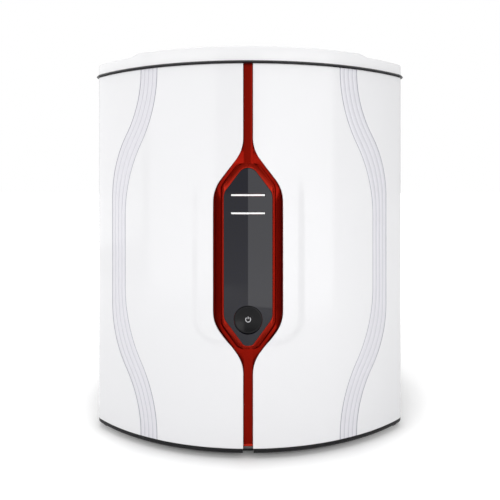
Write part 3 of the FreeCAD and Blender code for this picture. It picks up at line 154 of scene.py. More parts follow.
def lattice(rows, columns, closed=False):
    """Quads over a grid of points laid row after row."""
    faces = []
    for r in range(rows - 1):
        for c in range(columns if closed else columns - 1):
            right = (c + 1) % columns
            faces.append((r * columns + c, r * columns + right, (r + 1) * columns + right,
                          (r + 1) * columns + c))
    return faces


def surface_group():
    """Fine variation that every moulded, coated or cast surface shares."""
    group = bpy.data.node_groups.new("surface_variation", "ShaderNodeTree")
    for label, default in (("Scale", 30.0), ("Fine Scale", 900.0), ("Tone", 0.03), ("Grain", 0.2)):
        socket = group.interface.new_socket(label, in_out="INPUT", socket_type="NodeSocketFloat")
        socket.default_value = default
    for label in ("Shade", "Patch", "Height"):
        group.interface.new_socket(label, in_out="OUTPUT", socket_type="NodeSocketFloat")
    tree, link = group.nodes, group.links.new
    given, result = tree.new("NodeGroupInput"), tree.new("NodeGroupOutput")
    place = tree.new("ShaderNodeTexCoord")
    broad, fine = tree.new("ShaderNodeTexNoise"), tree.new("ShaderNodeTexNoise")
    broad.inputs["Detail"].default_value = 3
    fine.inputs["Detail"].default_value = 2
    link(place.outputs["Object"], broad.inputs["Vector"])
    link(place.outputs["Object"], fine.inputs["Vector"])
    link(given.outputs["Scale"], broad.inputs["Scale"])
    link(given.outputs["Fine Scale"], fine.inputs["Scale"])
    toned, shade, height = (tree.new("ShaderNodeMath") for step in range(3))
    toned.operation = height.operation = "MULTIPLY"
    link(broad.outputs["Fac"], toned.inputs[0])
    link(given.outputs["Tone"], toned.inputs[1])
    shade.operation = "SUBTRACT"
    shade.inputs[0].default_value = 1
    link(toned.outputs[0], shade.inputs[1])
    link(fine.outputs["Fac"], height.inputs[0])
    link(given.outputs["Grain"], height.inputs[1])
    link(shade.outputs[0], result.inputs["Shade"])
    link(broad.outputs["Fac"], result.inputs["Patch"])
    link(height.outputs[0], result.inputs["Height"])
    return group


variation = surface_group()
RELIEF = 0.0005


def finish(name, colour, rough, scale=30.0, fine=900.0, tone=0.03, grain=0.2, bump=0.02,
           spread=0.06, **sockets):
    """A Principled material whose colour, roughness and height vary over the surface."""
    material = bpy.data.materials.new(name)
    material.use_nodes = True
    tree, link = material.node_tree.nodes, material.node_tree.links.new
    shader = tree["Principled BSDF"]
    for label, number in sockets.items():
        shader.inputs[label.replace("_", " ")].default_value = number
    vary = tree.new("ShaderNodeGroup")
    vary.node_tree = variation
    for label, number in (("Scale", scale), ("Fine Scale", fine), ("Tone", tone), ("Grain", grain)):
        vary.inputs[label].default_value = number
    paint = tree.new("ShaderNodeMix")
    paint.data_type = "RGBA"
    paint.blend_type = "MULTIPLY"
    paint.inputs["Factor"].default_value = 1
    paint.inputs[6].default_value = (*colour, 1)
    link(vary.outputs["Shade"], paint.inputs[7])
    link(paint.outputs[2], shader.inputs["Base Color"])
    wear = tree.new("ShaderNodeMapRange")
    wear.inputs["To Min"].default_value = max(0.02, rough - spread)
    wear.inputs["To Max"].default_value = rough + spread
    link(vary.outputs["Patch"], wear.inputs["Value"])
    link(wear.outputs["Result"], shader.inputs["Roughness"])
    relief = tree.new("ShaderNodeBump")
    relief.inputs["Strength"].default_value = bump
    relief.inputs["Distance"].default_value = RELIEF
    link(vary.outputs["Height"], relief.inputs["Height"])
    link(relief.outputs["Normal"], shader.inputs["Normal"])
    return material


# The last of these greys is painted shade, laid into the wave band's five grooves.
DOOR_WHITE, BAND_WHITE, GROOVE_SHADE_GREY = (0.83, 0.83, 0.845), (0.745, 0.74, 0.785), (0.36, 0.355, 0.41)


def door_finish():
    """Glossy white with the wave band a little darker and painted shade, darker still, in its five
    grooves.
    """
    material = finish("gloss_white_door", DOOR_WHITE, 0.13, scale=9, tone=0.02, bump=0.01, IOR=1.42)
    tree, link = material.node_tree.nodes, material.node_tree.links.new
    paint = next(n for n in tree if n.type == "MIX")
    wave = tree.new("ShaderNodeAttribute")
    wave.attribute_name = "wave"
    groove_shade = tree.new("ShaderNodeAttribute")
    groove_shade.attribute_name = "line"
    band = tree.new("ShaderNodeMix")
    band.data_type = "RGBA"
    band.inputs[6].default_value = (*DOOR_WHITE, 1)
    band.inputs[7].default_value = (*BAND_WHITE, 1)
    link(wave.outputs["Fac"], band.inputs["Factor"])
    # Painted shade: the per-point groove mark mixes grey into the grooves.
    dark = tree.new("ShaderNodeMix")
    dark.data_type = "RGBA"
    dark.inputs[7].default_value = (*GROOVE_SHADE_GREY, 1)
    link(groove_shade.outputs["Fac"], dark.inputs["Factor"])
    link(band.outputs[2], dark.inputs[6])
    link(dark.outputs[2], paint.inputs[6])
    return material


def door_columns(z):
    """Round one level as (run, lift, band tone, painted groove shade): edge wall, face, return and
    back.
    """
    start = bow_run(console_edge(z))
    first = bow_run(wave_edge(z, *BAND_INNER_EDGE))
    last = bow_run(wave_edge(z, *BAND_OUTER_EDGE))
    undercut = 0.3 + 2.4 * ease((start - bow_run(SPLIT_HALF)) / 8)
    row = [(start + undercut, SHELL_BACK, 0, 0)]
    for step in range(6):
        turn = math.radians(18 * step)
        out, sink = LIP_RADIUS * (1 - math.cos(turn)), LIP_RADIUS * (1 - math.sin(turn))
        row.append((start + out, -sink, 0, 0))
    swell_steps = (1, 3, 6, 9, 11, 13, 15, 17, 19, 21, 23, 25, 28, 32, 38)
    row += [(start + LIP_RADIUS + add, 0, 0, 0) for add in swell_steps]
    face_end = first - BAND_MARGIN
    begin = start + LIP_RADIUS + swell_steps[-1]
    row += [(begin + (face_end - begin) * n / 20, 0, 0, 0) for n in range(1, 21)]
    for line in range(WAVE_LINES):
        middle = first + (last - first) * line / (WAVE_LINES - 1)
        # The first number is the painted groove shade: full in the outer two grooves, fainter in
        # the three between.
        dark, deep = (1.0, -0.38) if line in (0, WAVE_LINES - 1) else (0.42, -0.3)
        band_left = 0 if line == 0 else 1
        band_right = 0 if line == WAVE_LINES - 1 else 1
        row += [(middle - LINE_SHOULDER, BAND_SINK * band_left, band_left, 0),
                (middle - LINE_HALF, deep, 1, dark), (middle, deep - 0.06, 1, dark),
                (middle + LINE_HALF, deep, 1, dark),
                (middle + LINE_SHOULDER, BAND_SINK * band_right, band_right, 0)]
        if band_right:
            row.append((middle + (last - first) / (WAVE_LINES - 1) / 2, BAND_SINK, 1, 0))
    face_start = last + BAND_MARGIN
    row += [(face_start + (BOW_LENGTH - face_start) * n / 8, 0, 0, 0) for n in range(9)]
    row += [(BOW_LENGTH + CORNER_LENGTH * n / 10, 0, 0, 0) for n in range(1, 11)]
    end = BOW_LENGTH + CORNER_LENGTH + RETURN_LENGTH
    row += [(end - RETURN_LENGTH * n, 0, 0, 0) for n in (0.7, 0.4, 0.1)]
    row += [(end - 0.3, -0.3, 0, 0), (end, -0.9, 0, 0), (end, SHELL_BACK, 0, 0)]
    row += [(BOW_LENGTH + CORNER_LENGTH * n / 10, SHELL_BACK, 0, 0) for n in range(10, 0, -1)]
    row += [(start + (BOW_LENGTH - start) * n / 24, SHELL_BACK, 0, 0) for n in range(24, 0, -1)]
    return row


def door_mesh(name, sign, bottom, top):
    """The whole closed shell: outer face, rolled edges and the back that lies on the liner."""
    edge, level_step = 1.3, 1.6
    roll = [(edge * (1 - math.cos(turn)), -edge * (1 - math.sin(turn)))
            for turn in (math.radians(a) for a in (0, 22.5, 45, 67.5))]
    straight = top - bottom - 2 * edge
    count = int(straight / level_step)
    levels = [(bottom + rise, sink) for rise, sink in roll]
    levels += [(bottom + edge + straight * n / count, 0.0) for n in range(count + 1)]
    levels += [(top - rise, sink) for rise, sink in roll[::-1]]
    points, band, groove_shade = [], [], []
    for z, sink in levels:
        for run, lift, tone, line in door_columns(z):
            on_face = lift > SHELL_BACK and run < SWELL_REACH
            rise = swelling(plan_point(run, 0)[0], z) if on_face else 0
            x, y = plan_point(run, max(SHELL_BACK, lift + sink + rise))
            points.append((sign * x, y, z))
            band.append(tone)
            groove_shade.append(line)
    columns = len(points) // len(levels)
    faces = lattice(len(levels), columns)
    for low in range(0, len(points) - columns, columns):
        high = low + columns
        faces.append((high - 1, low, high, high + columns - 1))
    faces += [tuple(range(columns))[::-1], tuple(range(len(points) - columns, len(points)))]
    if sign < 0:
        faces = [face[::-1] for face in faces]
    mesh = smooth_mesh(name, points, faces, 50)
    for label, values in (("wave", band), ("line", groove_shade)):
        layer = mesh.attributes.new(label, "FLOAT", "POINT")
        layer.data.foreach_set("value", values)
    return mesh


door_white = door_finish()
shell_low, shell_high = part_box("right_door_shell")
for side, sign in (("left", -1), ("right", 1)):
    mesh = door_mesh(f"{side}_door_moulding", sign, shell_low[2] / MM, shell_high[2] / MM)
    add_piece(f"{side}_door_moulding", mesh, f"{side}_door", "white_shell", door_white,
              f"{side}_door_shell")

# Lid
# A shallow white cap in the doors' plastic, one step higher over the middle than over its sides,
# with a rolled rim. It is moulded in one and presses on to the dark frame below it.

lid_low, lid_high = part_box("lid")
LID_BOTTOM, LID_TOP, LID_BACK = lid_low[2] / MM, lid_high[2] / MM, lid_high[1] / MM
LID_STEP, LID_STEP_START, LID_STEP_LENGTH = 3.4, 121, 13
LID_RIM, LID_WALL, LID_SKIN = 2.6, 2.4, 7.0


def lid_level(x):
    """The top's level across the lid, a step lower over the sides."""
    return LID_TOP - LID_STEP * ease((abs(x) - LID_STEP_START) / LID_STEP_LENGTH)


def lid_mesh():
    """A grid over the top, rings down the rim and up the inside of the wall, and the underside.

    The underside lies lower than the CAD node's, most of all at the sides.
    """
    corner_steps, bow_steps, rows = 12, 70, 26
    bow_turn = BOW_LENGTH / BOW_RADIUS
    front = []
    for step in range(corner_steps + 1):
        turn = math.radians(90 - step * (90 - math.degrees(bow_turn)) / corner_steps)
        reach = CORNER_RADIUS - LID_RIM
        front.append((PIVOT_X + reach * math.sin(turn), PIVOT_Y - reach * math.cos(turn), turn))
    for step in range(1, bow_steps + 1):
        turn = bow_turn * (1 - step / bow_steps)
        reach = BOW_RADIUS - LID_RIM
        front.append((reach * math.sin(turn), BOW_CENTRE - reach * math.cos(turn), turn))
    front = [(-x, y, -turn) for x, y, turn in front[:-1]] + front[::-1]
    back = LID_BACK - LID_RIM
    points = []
    for r in range(rows + 1):
        share = ease(r / rows)
        points += [(x, y + (back - y) * share, lid_level(x)) for x, y, turn in front]
    top_count, columns = len(points), len(front)
    faces = lattice(rows + 1, columns)
    rim = [(c, (math.sin(turn), -math.cos(turn))) for c, (x, y, turn) in enumerate(front)]
    rim += [(r * columns + columns - 1, (1, 0)) for r in range(1, rows)]
    for c in range(columns - 1, -1, -1):
        way = (1 if c == columns - 1 else -1 if c == 0 else 0, 1)
        rim.append((rows * columns + c, way))
    rim += [(r * columns, (-1, 0)) for r in range(rows - 1, 0, -1)]
    profile = [(LID_RIM * math.sin(turn), LID_RIM * (math.cos(turn) - 1))
               for turn in (math.radians(a) for a in (15, 30, 45, 60, 75, 90))]
    inside = LID_RIM - LID_WALL
    profile += [(LID_RIM, None), (inside, None), (inside, -LID_SKIN), (0, -LID_SKIN)]
    ring = [index for index, way in rim]
    count = len(ring)
    for out, drop in profile:
        fresh = []
        for index, way in rim:
            x, y, z = points[index]
            level = LID_BOTTOM if drop is None else z + drop
            fresh.append(len(points))
            points.append((x + way[0] * out, y + way[1] * out, level))
        for n in range(count):
            after = (n + 1) % count
            faces.append((ring[n], fresh[n], fresh[after], ring[after]))
        ring = fresh
    under = len(points)
    points += [(x, y, z - LID_SKIN) for x, y, z in points[:top_count]]
    faces += [tuple(under + i for i in face[::-1]) for face in lattice(rows + 1, columns)]
    return smooth_mesh("lid_moulding", points, faces, 50)


lid_white = finish("gloss_white_lid", (0.87, 0.87, 0.88), 0.16, scale=9, tone=0.02, bump=0.01,
                   IOR=1.42)
add_piece("lid_moulding", lid_mesh(), "cabinet", "white_shell", lid_white, "lid")

# Dark frame, liners and floor tray
# Satin charcoal mouldings: the plate under the lid, the doors' inner skins whose foot shows as the
# trim, and the tray that carries everything. Glass-filled nylon with a fine spark texture.

MERGE_DISTANCE, FLAT_ANGLE, EDGE_ANGLE = 0.00002, 1, 35


def mend_mesh(mesh, merge=None, flatten=None):
    """Merge doubled points, dissolve flat seams and turn every face outwards."""
    form = bmesh.new()
    form.from_mesh(mesh)
    if merge:
        bmesh.ops.remove_doubles(form, verts=form.verts, dist=merge)
    if flatten:
        limit = math.radians(flatten)
        bmesh.ops.dissolve_limit(form, angle_limit=limit, verts=form.verts, edges=form.edges)
    bmesh.ops.recalc_face_normals(form, faces=form.faces)
    form.to_mesh(mesh)
    form.free()


def baked_mesh(carrier):
    """The plain mesh that an object's modifiers make."""
    bpy.context.view_layer.update()
    evaluated = carrier.evaluated_get(bpy.context.evaluated_depsgraph_get())
    mesh = bpy.data.meshes.new_from_object(evaluated)
    carrier.modifiers.clear()
    bpy.data.objects.remove(carrier)
    return mesh


def softened(node, name, body, slot, material, width=0.5, segments=3, crease=35):
    """The node's own shape with its edges broken, as a piece in its place."""
    mesh = nodes[node].data.copy()
    mesh.name = name
    mend_mesh(mesh, MERGE_DISTANCE, FLAT_ANGLE)
    carrier = bpy.data.objects.new(name, mesh)
    bpy.context.collection.objects.link(carrier)
    bevel = carrier.modifiers.new("edges", "BEVEL")
    bevel.width = width * MM
    bevel.segments = segments
    bevel.limit_method = "ANGLE"
    bevel.angle_limit = math.radians(EDGE_ANGLE)
    bevel.use_clamp_overlap = True
    mesh = baked_mesh(carrier)
    shade_smooth(mesh, crease)
    return add_piece(name, mesh, body, slot, material, node)


charcoal = finish("satin_charcoal", (0.0045, 0.0042, 0.0056), 0.4, scale=60, fine=1600, tone=0.2,
                  grain=1, bump=0.12, IOR=1.3)
softened("top_frame", "frame_plate", "cabinet", "dark_trim", charcoal, 0.4)
softened("base_tray", "floor_tray", "cabinet", "dark_trim", charcoal, 0.4)
for side in ("left", "right"):
    softened(f"{side}_door_liner", f"{side}_inner_skin", f"{side}_door", "dark_trim", charcoal, 0.5)

# Red spine
# The gloss red moulding that shows between the doors: a flat-topped ridge up the middle whose
# flanks fall away to the doors, and a shallow channel round the console. Lacquered ABS, closed at
# its foot by a bead in a lighter red, a painted highlight, and a small grey block whose grey is
# painted shadow, standing in for the shaded floor seen under the strip.

WINDOW_HALF, WINDOW_FOOT, WINDOW_LOWER, WINDOW_UPPER = 25.7, 119.5, 147.5, 279.3


def outline_loop(grow, side, crown, turn, toe):
    """The console window's outline: round apex, upright sides, a short flat foot.

    Its slopes and sides move out by grow and side; crown, turn and toe are its radii.
    """
    slope, arc = CONSOLE_SLOPE, 10
    length = math.sqrt(1 + slope ** 2)
    lean = math.atan2(slope, 1)
    wide = WINDOW_HALF + side
    rise = grow * length - side * slope
    low = WINDOW_FOOT - grow
    upper = WINDOW_UPPER + rise - turn * (length - slope)
    lower = WINDOW_LOWER - rise + turn * (length - slope)
    crown_z = WINDOW_UPPER + rise + wide * slope - crown * length
    toe_x = wide - (WINDOW_LOWER - rise - low) / slope - toe * (length - 1) / slope
    right = [(toe_x + toe * math.sin(a), low + toe - toe * math.cos(a))
             for a in (lean * n / arc for n in range(arc + 1))]
    right += [(wide - turn + turn * math.cos(a), lower - turn * math.sin(a))
              for a in ((math.pi / 2 - lean) * (1 - n / arc) for n in range(arc + 1))]
    right += [(wide - turn + turn * math.cos(a), upper + turn * math.sin(a))
              for a in ((math.pi / 2 - lean) * n / arc for n in range(arc + 1))]
    right += [(crown * math.sin(a), crown_z + crown * math.cos(a))
              for a in [lean * (1 - n / arc) for n in range(arc)] + [0.35 / crown, 0]]
    return right + [(-x, z) for x, z in right[-2::-1]] + [(0.0, low)]


def half_width(loop):
    """The loop's half width as a function of level."""
    right = sorted((z, x) for x, z in loop if x >= 0)
    levels, widths = [z for z, x in right], [x for z, x in right]
    return lambda z: float(np.interp(z, levels, widths)) if levels[0] < z < levels[-1] else 0.0


COLLAR_SHAPE = (5.8, 1.5, 16, 12, 9)
collar_width = half_width(outline_loop(*COLLAR_SHAPE))
spine_low, spine_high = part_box("spine_moulding")
SPINE_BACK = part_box("spine_column")[0][1] / MM - 0.05
SPINE_FOOT, SPINE_TOE, SPINE_TOP = spine_low[2] / MM, spine_low[2] / MM + 4.0, spine_high[2] / MM
RIDGE_HALF, RIDGE_DEPTH, FLANK_DEPTH, FOOT_DEPTH = 4.8, -4.6, -7.2, -8.4
UPPER_LIFT, LOWER_LIFT, GROOVE_WIDTH, GROOVE_DEPTH, EDGE_GAP, TUCK = 5.0, 3.2, 2.6, 3.0, 0.45, 3.5


def spine_mesh():
    """Sections across the spine: ridge, groove round the collar, flank, foot, and a flat back.

    It is solid all the way up, also behind the window, where the CAD node is open.
    """
    points = []
    levels = list(np.linspace(SPINE_TOE, SPINE_TOP, 300))
    top = RIDGE_DEPTH - 0.1
    for z in levels:
        inner = max(RIDGE_HALF, collar_width(z))
        outer = max(console_edge(z), inner + 0.35)
        channel = ease((inner - RIDGE_HALF) / 5)
        wide = min(0.12 + GROOVE_WIDTH * channel, (outer - inner) / 2)
        slant = abs(console_edge(z + 1) - console_edge(z - 1)) / 2
        rim = outer - EDGE_GAP * channel
        lift = UPPER_LIFT if z > CONSOLE_MIDDLE else LOWER_LIFT
        flank = FLANK_DEPTH + lift * min(1.0, slant / 0.7)
        half = [(0.0, RIDGE_DEPTH), (inner * 0.5, RIDGE_DEPTH),
                (inner - 0.35, RIDGE_DEPTH - 1.6 * channel)]
        half += [(inner + wide * share, top - GROOVE_DEPTH * channel) for share in (0, 0.15, 0.8)]
        for share in (0, 0.06, 0.2, 0.5, 0.8, 1):
            x = inner + wide + (rim - inner - wide) * share
            half.append((x, top + (flank - RIDGE_DEPTH) * (x - inner) / (rim - inner)))
        half += [(rim + 0.1, FOOT_DEPTH + 1.2), (outer + 0.5, FOOT_DEPTH),
                 (outer + TUCK, FOOT_DEPTH)]
        points.append((-outer - TUCK, SPINE_BACK, z))
        for x, depth in [(-x, d) for x, d in half[:0:-1]] + half:
            spot = plan_point(bow_run(abs(x)), depth)
            points.append((math.copysign(spot[0], x), spot[1], z))
        points.append((outer + TUCK, SPINE_BACK, z))
    columns = len(points) // len(levels)
    faces = lattice(len(levels), columns, closed=True)
    faces += [tuple(range(columns))[::-1], tuple(range(len(points) - columns, len(points)))]
    return smooth_mesh("red_spine", points, faces, 24)


red = finish("red_lacquer", (0.19, 0.0045, 0.0014), 0.2, scale=40, tone=0.1, bump=0.01,
             Metallic=0.6, IOR=1.1)
add_piece("red_spine", spine_mesh(), "cabinet", "red_gloss", red, "spine_moulding")


def cross_bar(name, profile):
    """A bar as wide as the ridge, its ends drawn in, from a loop of (forward, level)."""
    middle = [sum(p[n] for p in profile) / len(profile) for n in (0, 1)]
    end = [(-RIDGE_HALF, 0.86), (-RIDGE_HALF + 0.15, 0.96), (-RIDGE_HALF + 0.4, 1)]
    points = []
    for x, size in end + [(-x, size) for x, size in end[::-1]]:
        for forward, level in profile:
            spot = plan_point(0, middle[0] + (forward - middle[0]) * size)
            points.append((x, spot[1], middle[1] + (level - middle[1]) * size))
    count = len(profile)
    faces = [face[::-1] for face in lattice(2 * len(end), count, closed=True)]
    faces += [tuple(range(count)), tuple(range(len(points) - count, len(points)))[::-1]]
    return smooth_mesh(name, points, faces, 50)


BEAD_DEPTH, BEAD_HEIGHT, BEAD_LEVEL = 1.5, 1.35, SPINE_TOE + 0.75
toe_bead = [(-6.5, BEAD_LEVEL - BEAD_HEIGHT)]
toe_bead += [(-4.7 + BEAD_DEPTH * math.sin(a), BEAD_LEVEL - BEAD_HEIGHT * math.cos(a))
             for a in (math.pi * n / 10 for n in range(11))]
toe_bead.append((-6.5, BEAD_LEVEL + BEAD_HEIGHT))
# A lighter copy of the red lacquer for the toe bead and the collar: painted highlight for the light
# that their bevels catch.
highlit_red = finish("red_lacquer_painted_highlight", (0.42, 0.02, 0.009), 0.22, scale=40, tone=0.08, bump=0.01,
                    Metallic=0.5, IOR=1.1)
add_piece("spine_toe", cross_bar("spine_toe", toe_bead), "cabinet", "red_gloss", highlit_red)
# The grey block below the bead fills the gap between the doors where the shaded floor shows:
# painted shadow.
BLOCK_FRONT, BLOCK_BACK, BLOCK_ROUND = -5.6, -9.0, 0.4
low, high = SPINE_FOOT + 0.2, SPINE_TOE - 0.6
shadow_block = [(BLOCK_BACK, low), (BLOCK_FRONT - BLOCK_ROUND, low), (BLOCK_FRONT, low + BLOCK_ROUND),
              (BLOCK_FRONT, high - BLOCK_ROUND), (BLOCK_FRONT - BLOCK_ROUND, high),
              (BLOCK_BACK, high)]
floor_shadow_grey = finish("floor_shadow_grey", (0.11, 0.11, 0.115), 0.5, scale=80, fine=1400, tone=0.1, grain=1,
                   bump=0.08)
add_piece("spine_foot", cross_bar("spine_foot", shadow_block), "cabinet", "head_grey", floor_shadow_grey)

# Console rim
# A red collar that stands proud of the spine and holds the window, coloured a lighter red than
# the spine as a painted highlight. Its outer bevel widens over the shoulders and narrows to an edge
# along the sides. Lacquered ABS, screwed from behind.

PROW, APEX_NOTCH, COLLAR_BACK = 3.5 / WINDOW_HALF, 0.7, -176.0
MOUTH_SHAPE = (0.15, 0.15, 11, 14, 5)


def collar_mesh():
    """Rings round the window, each an outline with its depth and its share of the prow."""
    rings = [(COLLAR_SHAPE, COLLAR_BACK, 0.0), (COLLAR_SHAPE, -179.6, 0.0),
             ((5.6, 1.45, 15.8, 12, 8.8), -180.3, 0.0), ((1.5, 1.0, 12, 13.5, 5.6), -185.3, 0.75),
             ((1.1, 0.85, 11.6, 13.8, 5.3), -186.15, 1.0),
             ((0.8, 0.65, 11.3, 14, 5.2), -186.45, 1.0), ((0.45, 0.4, 11.1, 14, 5.1), -186.4, 1.0),
             ((0.2, 0.2, 11, 14, 5), -186.0, 1.0), (MOUTH_SHAPE, -183.0, 1.0),
             (MOUTH_SHAPE, COLLAR_BACK, 0.0), (COLLAR_SHAPE, COLLAR_BACK, 0.0)]
    points = []
    for shape, depth, prow in rings:
        for x, z in outline_loop(*shape):
            back = APEX_NOTCH if x == 0 and z > CONSOLE_MIDDLE else 0
            points.append((x, depth + back + prow * PROW * abs(x), z))
    columns = len(points) // len(rings)
    return smooth_mesh("console_collar", points, lattice(len(rings), columns, closed=True), 30)


add_piece("console_collar", collar_mesh(), "cabinet", "red_gloss", highlit_red, "console_bezel")

# Console window and light bars
# A smoked acrylic window with a low ridge down its middle, and two milky light guides pressed
# through it from the board behind. Both are polished.

BAR_HEIGHT_SHARE, BAR_WIDTH_SHARE = 0.8, 0.985
smoked = finish("smoked_acrylic", (0.0004, 0.0004, 0.007), 0.04, scale=60, tone=0.3, bump=0.002,
                spread=0.01, IOR=1.38)
softened("console_lens", "smoked_window", "cabinet", "dark_window", smoked, 0.25, 2, crease=6)
milky = finish("milky_guide", (0.9, 0.9, 0.9), 0.3, scale=200, tone=0.03, Emission_Strength=0.08)
guide = milky.node_tree.nodes["Principled BSDF"].inputs
milky.node_tree.links.new(guide["Base Color"].links[0].from_socket, guide["Emission Color"])
bars = softened("status_bars", "light_bars", "cabinet", "light_guide", milky, 0.2, 2)
heights = [vert.co.z for vert in bars.data.vertices]
between = (min(heights) + max(heights)) / 2
for over in (False, True):
    verts = [vert for vert in bars.data.vertices if (vert.co.z > between) == over]
    level = (min(v.co.z for v in verts) + max(v.co.z for v in verts)) / 2
    for vert in verts:
        vert.co.z = level + (vert.co.z - level) * BAR_HEIGHT_SHARE
        vert.co.x *= BAR_WIDTH_SHARE

# Power button
# A dished gloss black disc with a light grey sign let into its middle, moulded in two shots. Its
# stem passes through the window and presses the switch on the board.

TURNED_MERGE = 0.000001


def turned_mesh(name, profile, spot, count=96, axis="y", angle=35):
    """A profile of (radius, height) spun about an axis through a spot."""
    points = []
    for radius, height in profile:
        for n in range(count):
            turn = 2 * math.pi * n / count
            a, b = radius * math.cos(turn), radius * math.sin(turn)
            offset = {"y": (a, -height, b), "z": (a, b, height)}[axis]
            points.append([s + o for s, o in zip(spot, offset)])
    faces = lattice(len(profile), count, closed=True)
    faces = [f for f in faces if len({tuple(points[i]) for i in f}) > 2]
    mesh = smooth_mesh(name, points, faces, angle)
    mend_mesh(mesh, TURNED_MERGE)
    shade_smooth(mesh, angle)
    return mesh


button_low, button_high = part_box("power_button")
BUTTON_FRONT, BUTTON_BACK = button_low[1] / MM, button_high[1] / MM
BUTTON_RADIUS, BUTTON_Z = button_high[0] / MM, (button_low[2] + button_high[2]) / 2 / MM
STEM_RADIUS, SKIRT, DISH_RADIUS, DISH_DEPTH = 4.5, -4, 13.4, 1.3
stem = BUTTON_FRONT - BUTTON_BACK
profile = [(0, stem), (STEM_RADIUS, stem), (STEM_RADIUS, SKIRT), (BUTTON_RADIUS - 0.4, SKIRT)]
profile += [(BUTTON_RADIUS, SKIRT + 0.4), (BUTTON_RADIUS, -0.5), (BUTTON_RADIUS - 0.15, -0.15)]
profile.append((BUTTON_RADIUS - 0.5, 0))
profile += [(r, -DISH_DEPTH * (1 - (r / DISH_RADIUS) ** 2))
            for r in (DISH_RADIUS, 12.4, 11, 9.4, 7.6, 5.8, 4, 2.2, 0.8)]
profile.append((0, -DISH_DEPTH))
black_gloss = finish("gloss_black", (0.001, 0.001, 0.002), 0.12, scale=90, tone=0.3, bump=0.005,
                     IOR=1.26)
add_piece("button_cap", turned_mesh("button_cap", profile, (0, BUTTON_FRONT, BUTTON_Z)), "button",
          "button_black", black_gloss, "power_button")


SIGN_RADIUS, SIGN_THICK, SIGN_GAP, SIGN_SIDES, SIGN_SINK = 2.6, 0.42, 38, 8, 1.22


def symbol_mesh():
    """The on and off sign: a bar bent into an open ring, and a short upright bar in its gap."""
    ways = [(math.sin(turn), math.cos(turn))
            for turn in (math.radians(a) for a in range(SIGN_GAP, 361 - SIGN_GAP, 4))]
    ring = [((SIGN_RADIUS * across, SIGN_RADIUS * up), (across, up)) for across, up in ways]
    upright = [((0, z), (1, 0)) for z in (0.6, 0.8, 2.9, 3.1)]
    points, faces = [], []
    for bar in (ring, upright):
        start = len(points)
        for n, ((x, z), (across, up)) in enumerate(bar):
            size = SIGN_THICK * (0.5 if n in (0, len(bar) - 1) else 1)
            for step in range(SIGN_SIDES):
                turn = 2 * math.pi * step / SIGN_SIDES
                out, front = size * math.cos(turn), 0.5 * size * math.sin(turn)
                points.append((x + across * out, BUTTON_FRONT + SIGN_SINK - front,
                               BUTTON_Z + z + up * out))
        side = lattice(len(bar), SIGN_SIDES, closed=True)
        faces += [tuple(start + i for i in face) for face in side]
        faces += [tuple(range(start, start + SIGN_SIDES)),
                  tuple(range(len(points) - SIGN_SIDES, len(points)))]
    mesh = smooth_mesh("button_sign", points, faces, 60)
    mend_mesh(mesh)
    return mesh


light_grey = finish("sign_grey", (0.55, 0.55, 0.57), 0.3, scale=200, tone=0.05)
add_piece("button_sign", symbol_mesh(), "button", "symbol_grey", light_grey, "power_symbol")

# Side and rear panels
# Folded sheet steel with a white powder coat, plain at the sides. The rear one has a stack of vent
# slots and is held by domed cross-head screws along its edges.

powder = finish("white_powder_coat", (0.78, 0.78, 0.79), 0.42, scale=25, fine=1300, tone=0.03,
                grain=1, bump=0.16, IOR=1.5)
for side in ("left", "right"):
    softened(f"{side}_side_panel", f"{side}_side_sheet", "cabinet", "white_panel", powder, 0.5)
softened("back_panel", "rear_sheet", "cabinet", "white_panel", powder, 0.4)


def repeat_tree(name, shape):
    """A node tree that sets a small mesh on every point of the object it is given."""
    tree = bpy.data.node_groups.new(name, "GeometryNodeTree")
    for label, kind in (("Geometry", "Geometry"), ("Size", "Float"), ("Turn", "Vector"),
                        ("Finish", "Material")):
        tree.interface.new_socket(label, in_out="INPUT", socket_type=f"NodeSocket{kind}")
    tree.interface.new_socket("Geometry", in_out="OUTPUT", socket_type="NodeSocketGeometry")
    given, result = tree.nodes.new("NodeGroupInput"), tree.nodes.new("NodeGroupOutput")
    form = tree.nodes.new("GeometryNodeObjectInfo")
    form.inputs["Object"].default_value = shape
    spread = tree.nodes.new("GeometryNodeInstanceOnPoints")
    real = tree.nodes.new("GeometryNodeRealizeInstances")
    coat = tree.nodes.new("GeometryNodeSetMaterial")
    link = tree.links.new
    link(given.outputs["Geometry"], spread.inputs["Points"])
    link(form.outputs["Geometry"], spread.inputs["Instance"])
    link(given.outputs["Size"], spread.inputs["Scale"])
    link(given.outputs["Turn"], spread.inputs["Rotation"])
    link(spread.outputs["Instances"], real.inputs["Geometry"])
    link(real.outputs["Geometry"], coat.inputs["Geometry"])
    link(given.outputs["Finish"], coat.inputs["Material"])
    link(coat.outputs["Geometry"], result.inputs["Geometry"])
    return tree


def repeated(name, shape_mesh, spots, turn, body, slot, material):
    """One plain mesh of the same small part at each spot, made by a node tree."""
    shape = bpy.data.objects.new(f"{name}_form", shape_mesh)
    bpy.context.collection.objects.link(shape)
    cloud = bpy.data.meshes.new(f"{name}_spots")
    cloud.from_pydata([[c * MM for c in spot] for spot in spots], [], [])
    carrier = bpy.data.objects.new(f"{name}_carrier", cloud)
    bpy.context.collection.objects.link(carrier)
    modifier = carrier.modifiers.new("repeat", "NODES")
    modifier.node_group = repeat_tree(f"{name}_layout", shape)
    sockets = {item.name: item.identifier for item in modifier.node_group.interface.items_tree
               if item.in_out == "INPUT"}
    modifier[sockets["Size"]] = 1.0
    modifier[sockets["Turn"]] = turn
    modifier[sockets["Finish"]] = material
    mesh = baked_mesh(carrier)
    bpy.data.objects.remove(shape)
    mesh.name = name
    shade_smooth(mesh, 35)
    return add_piece(name, mesh, body, slot, material)


SCREW_SIDES, CROSS_ARM, CROSS_WAIST, CROSS_TOP, CROSS_FLOOR = 24, 1.15, 0.45, 1.5, 0.7


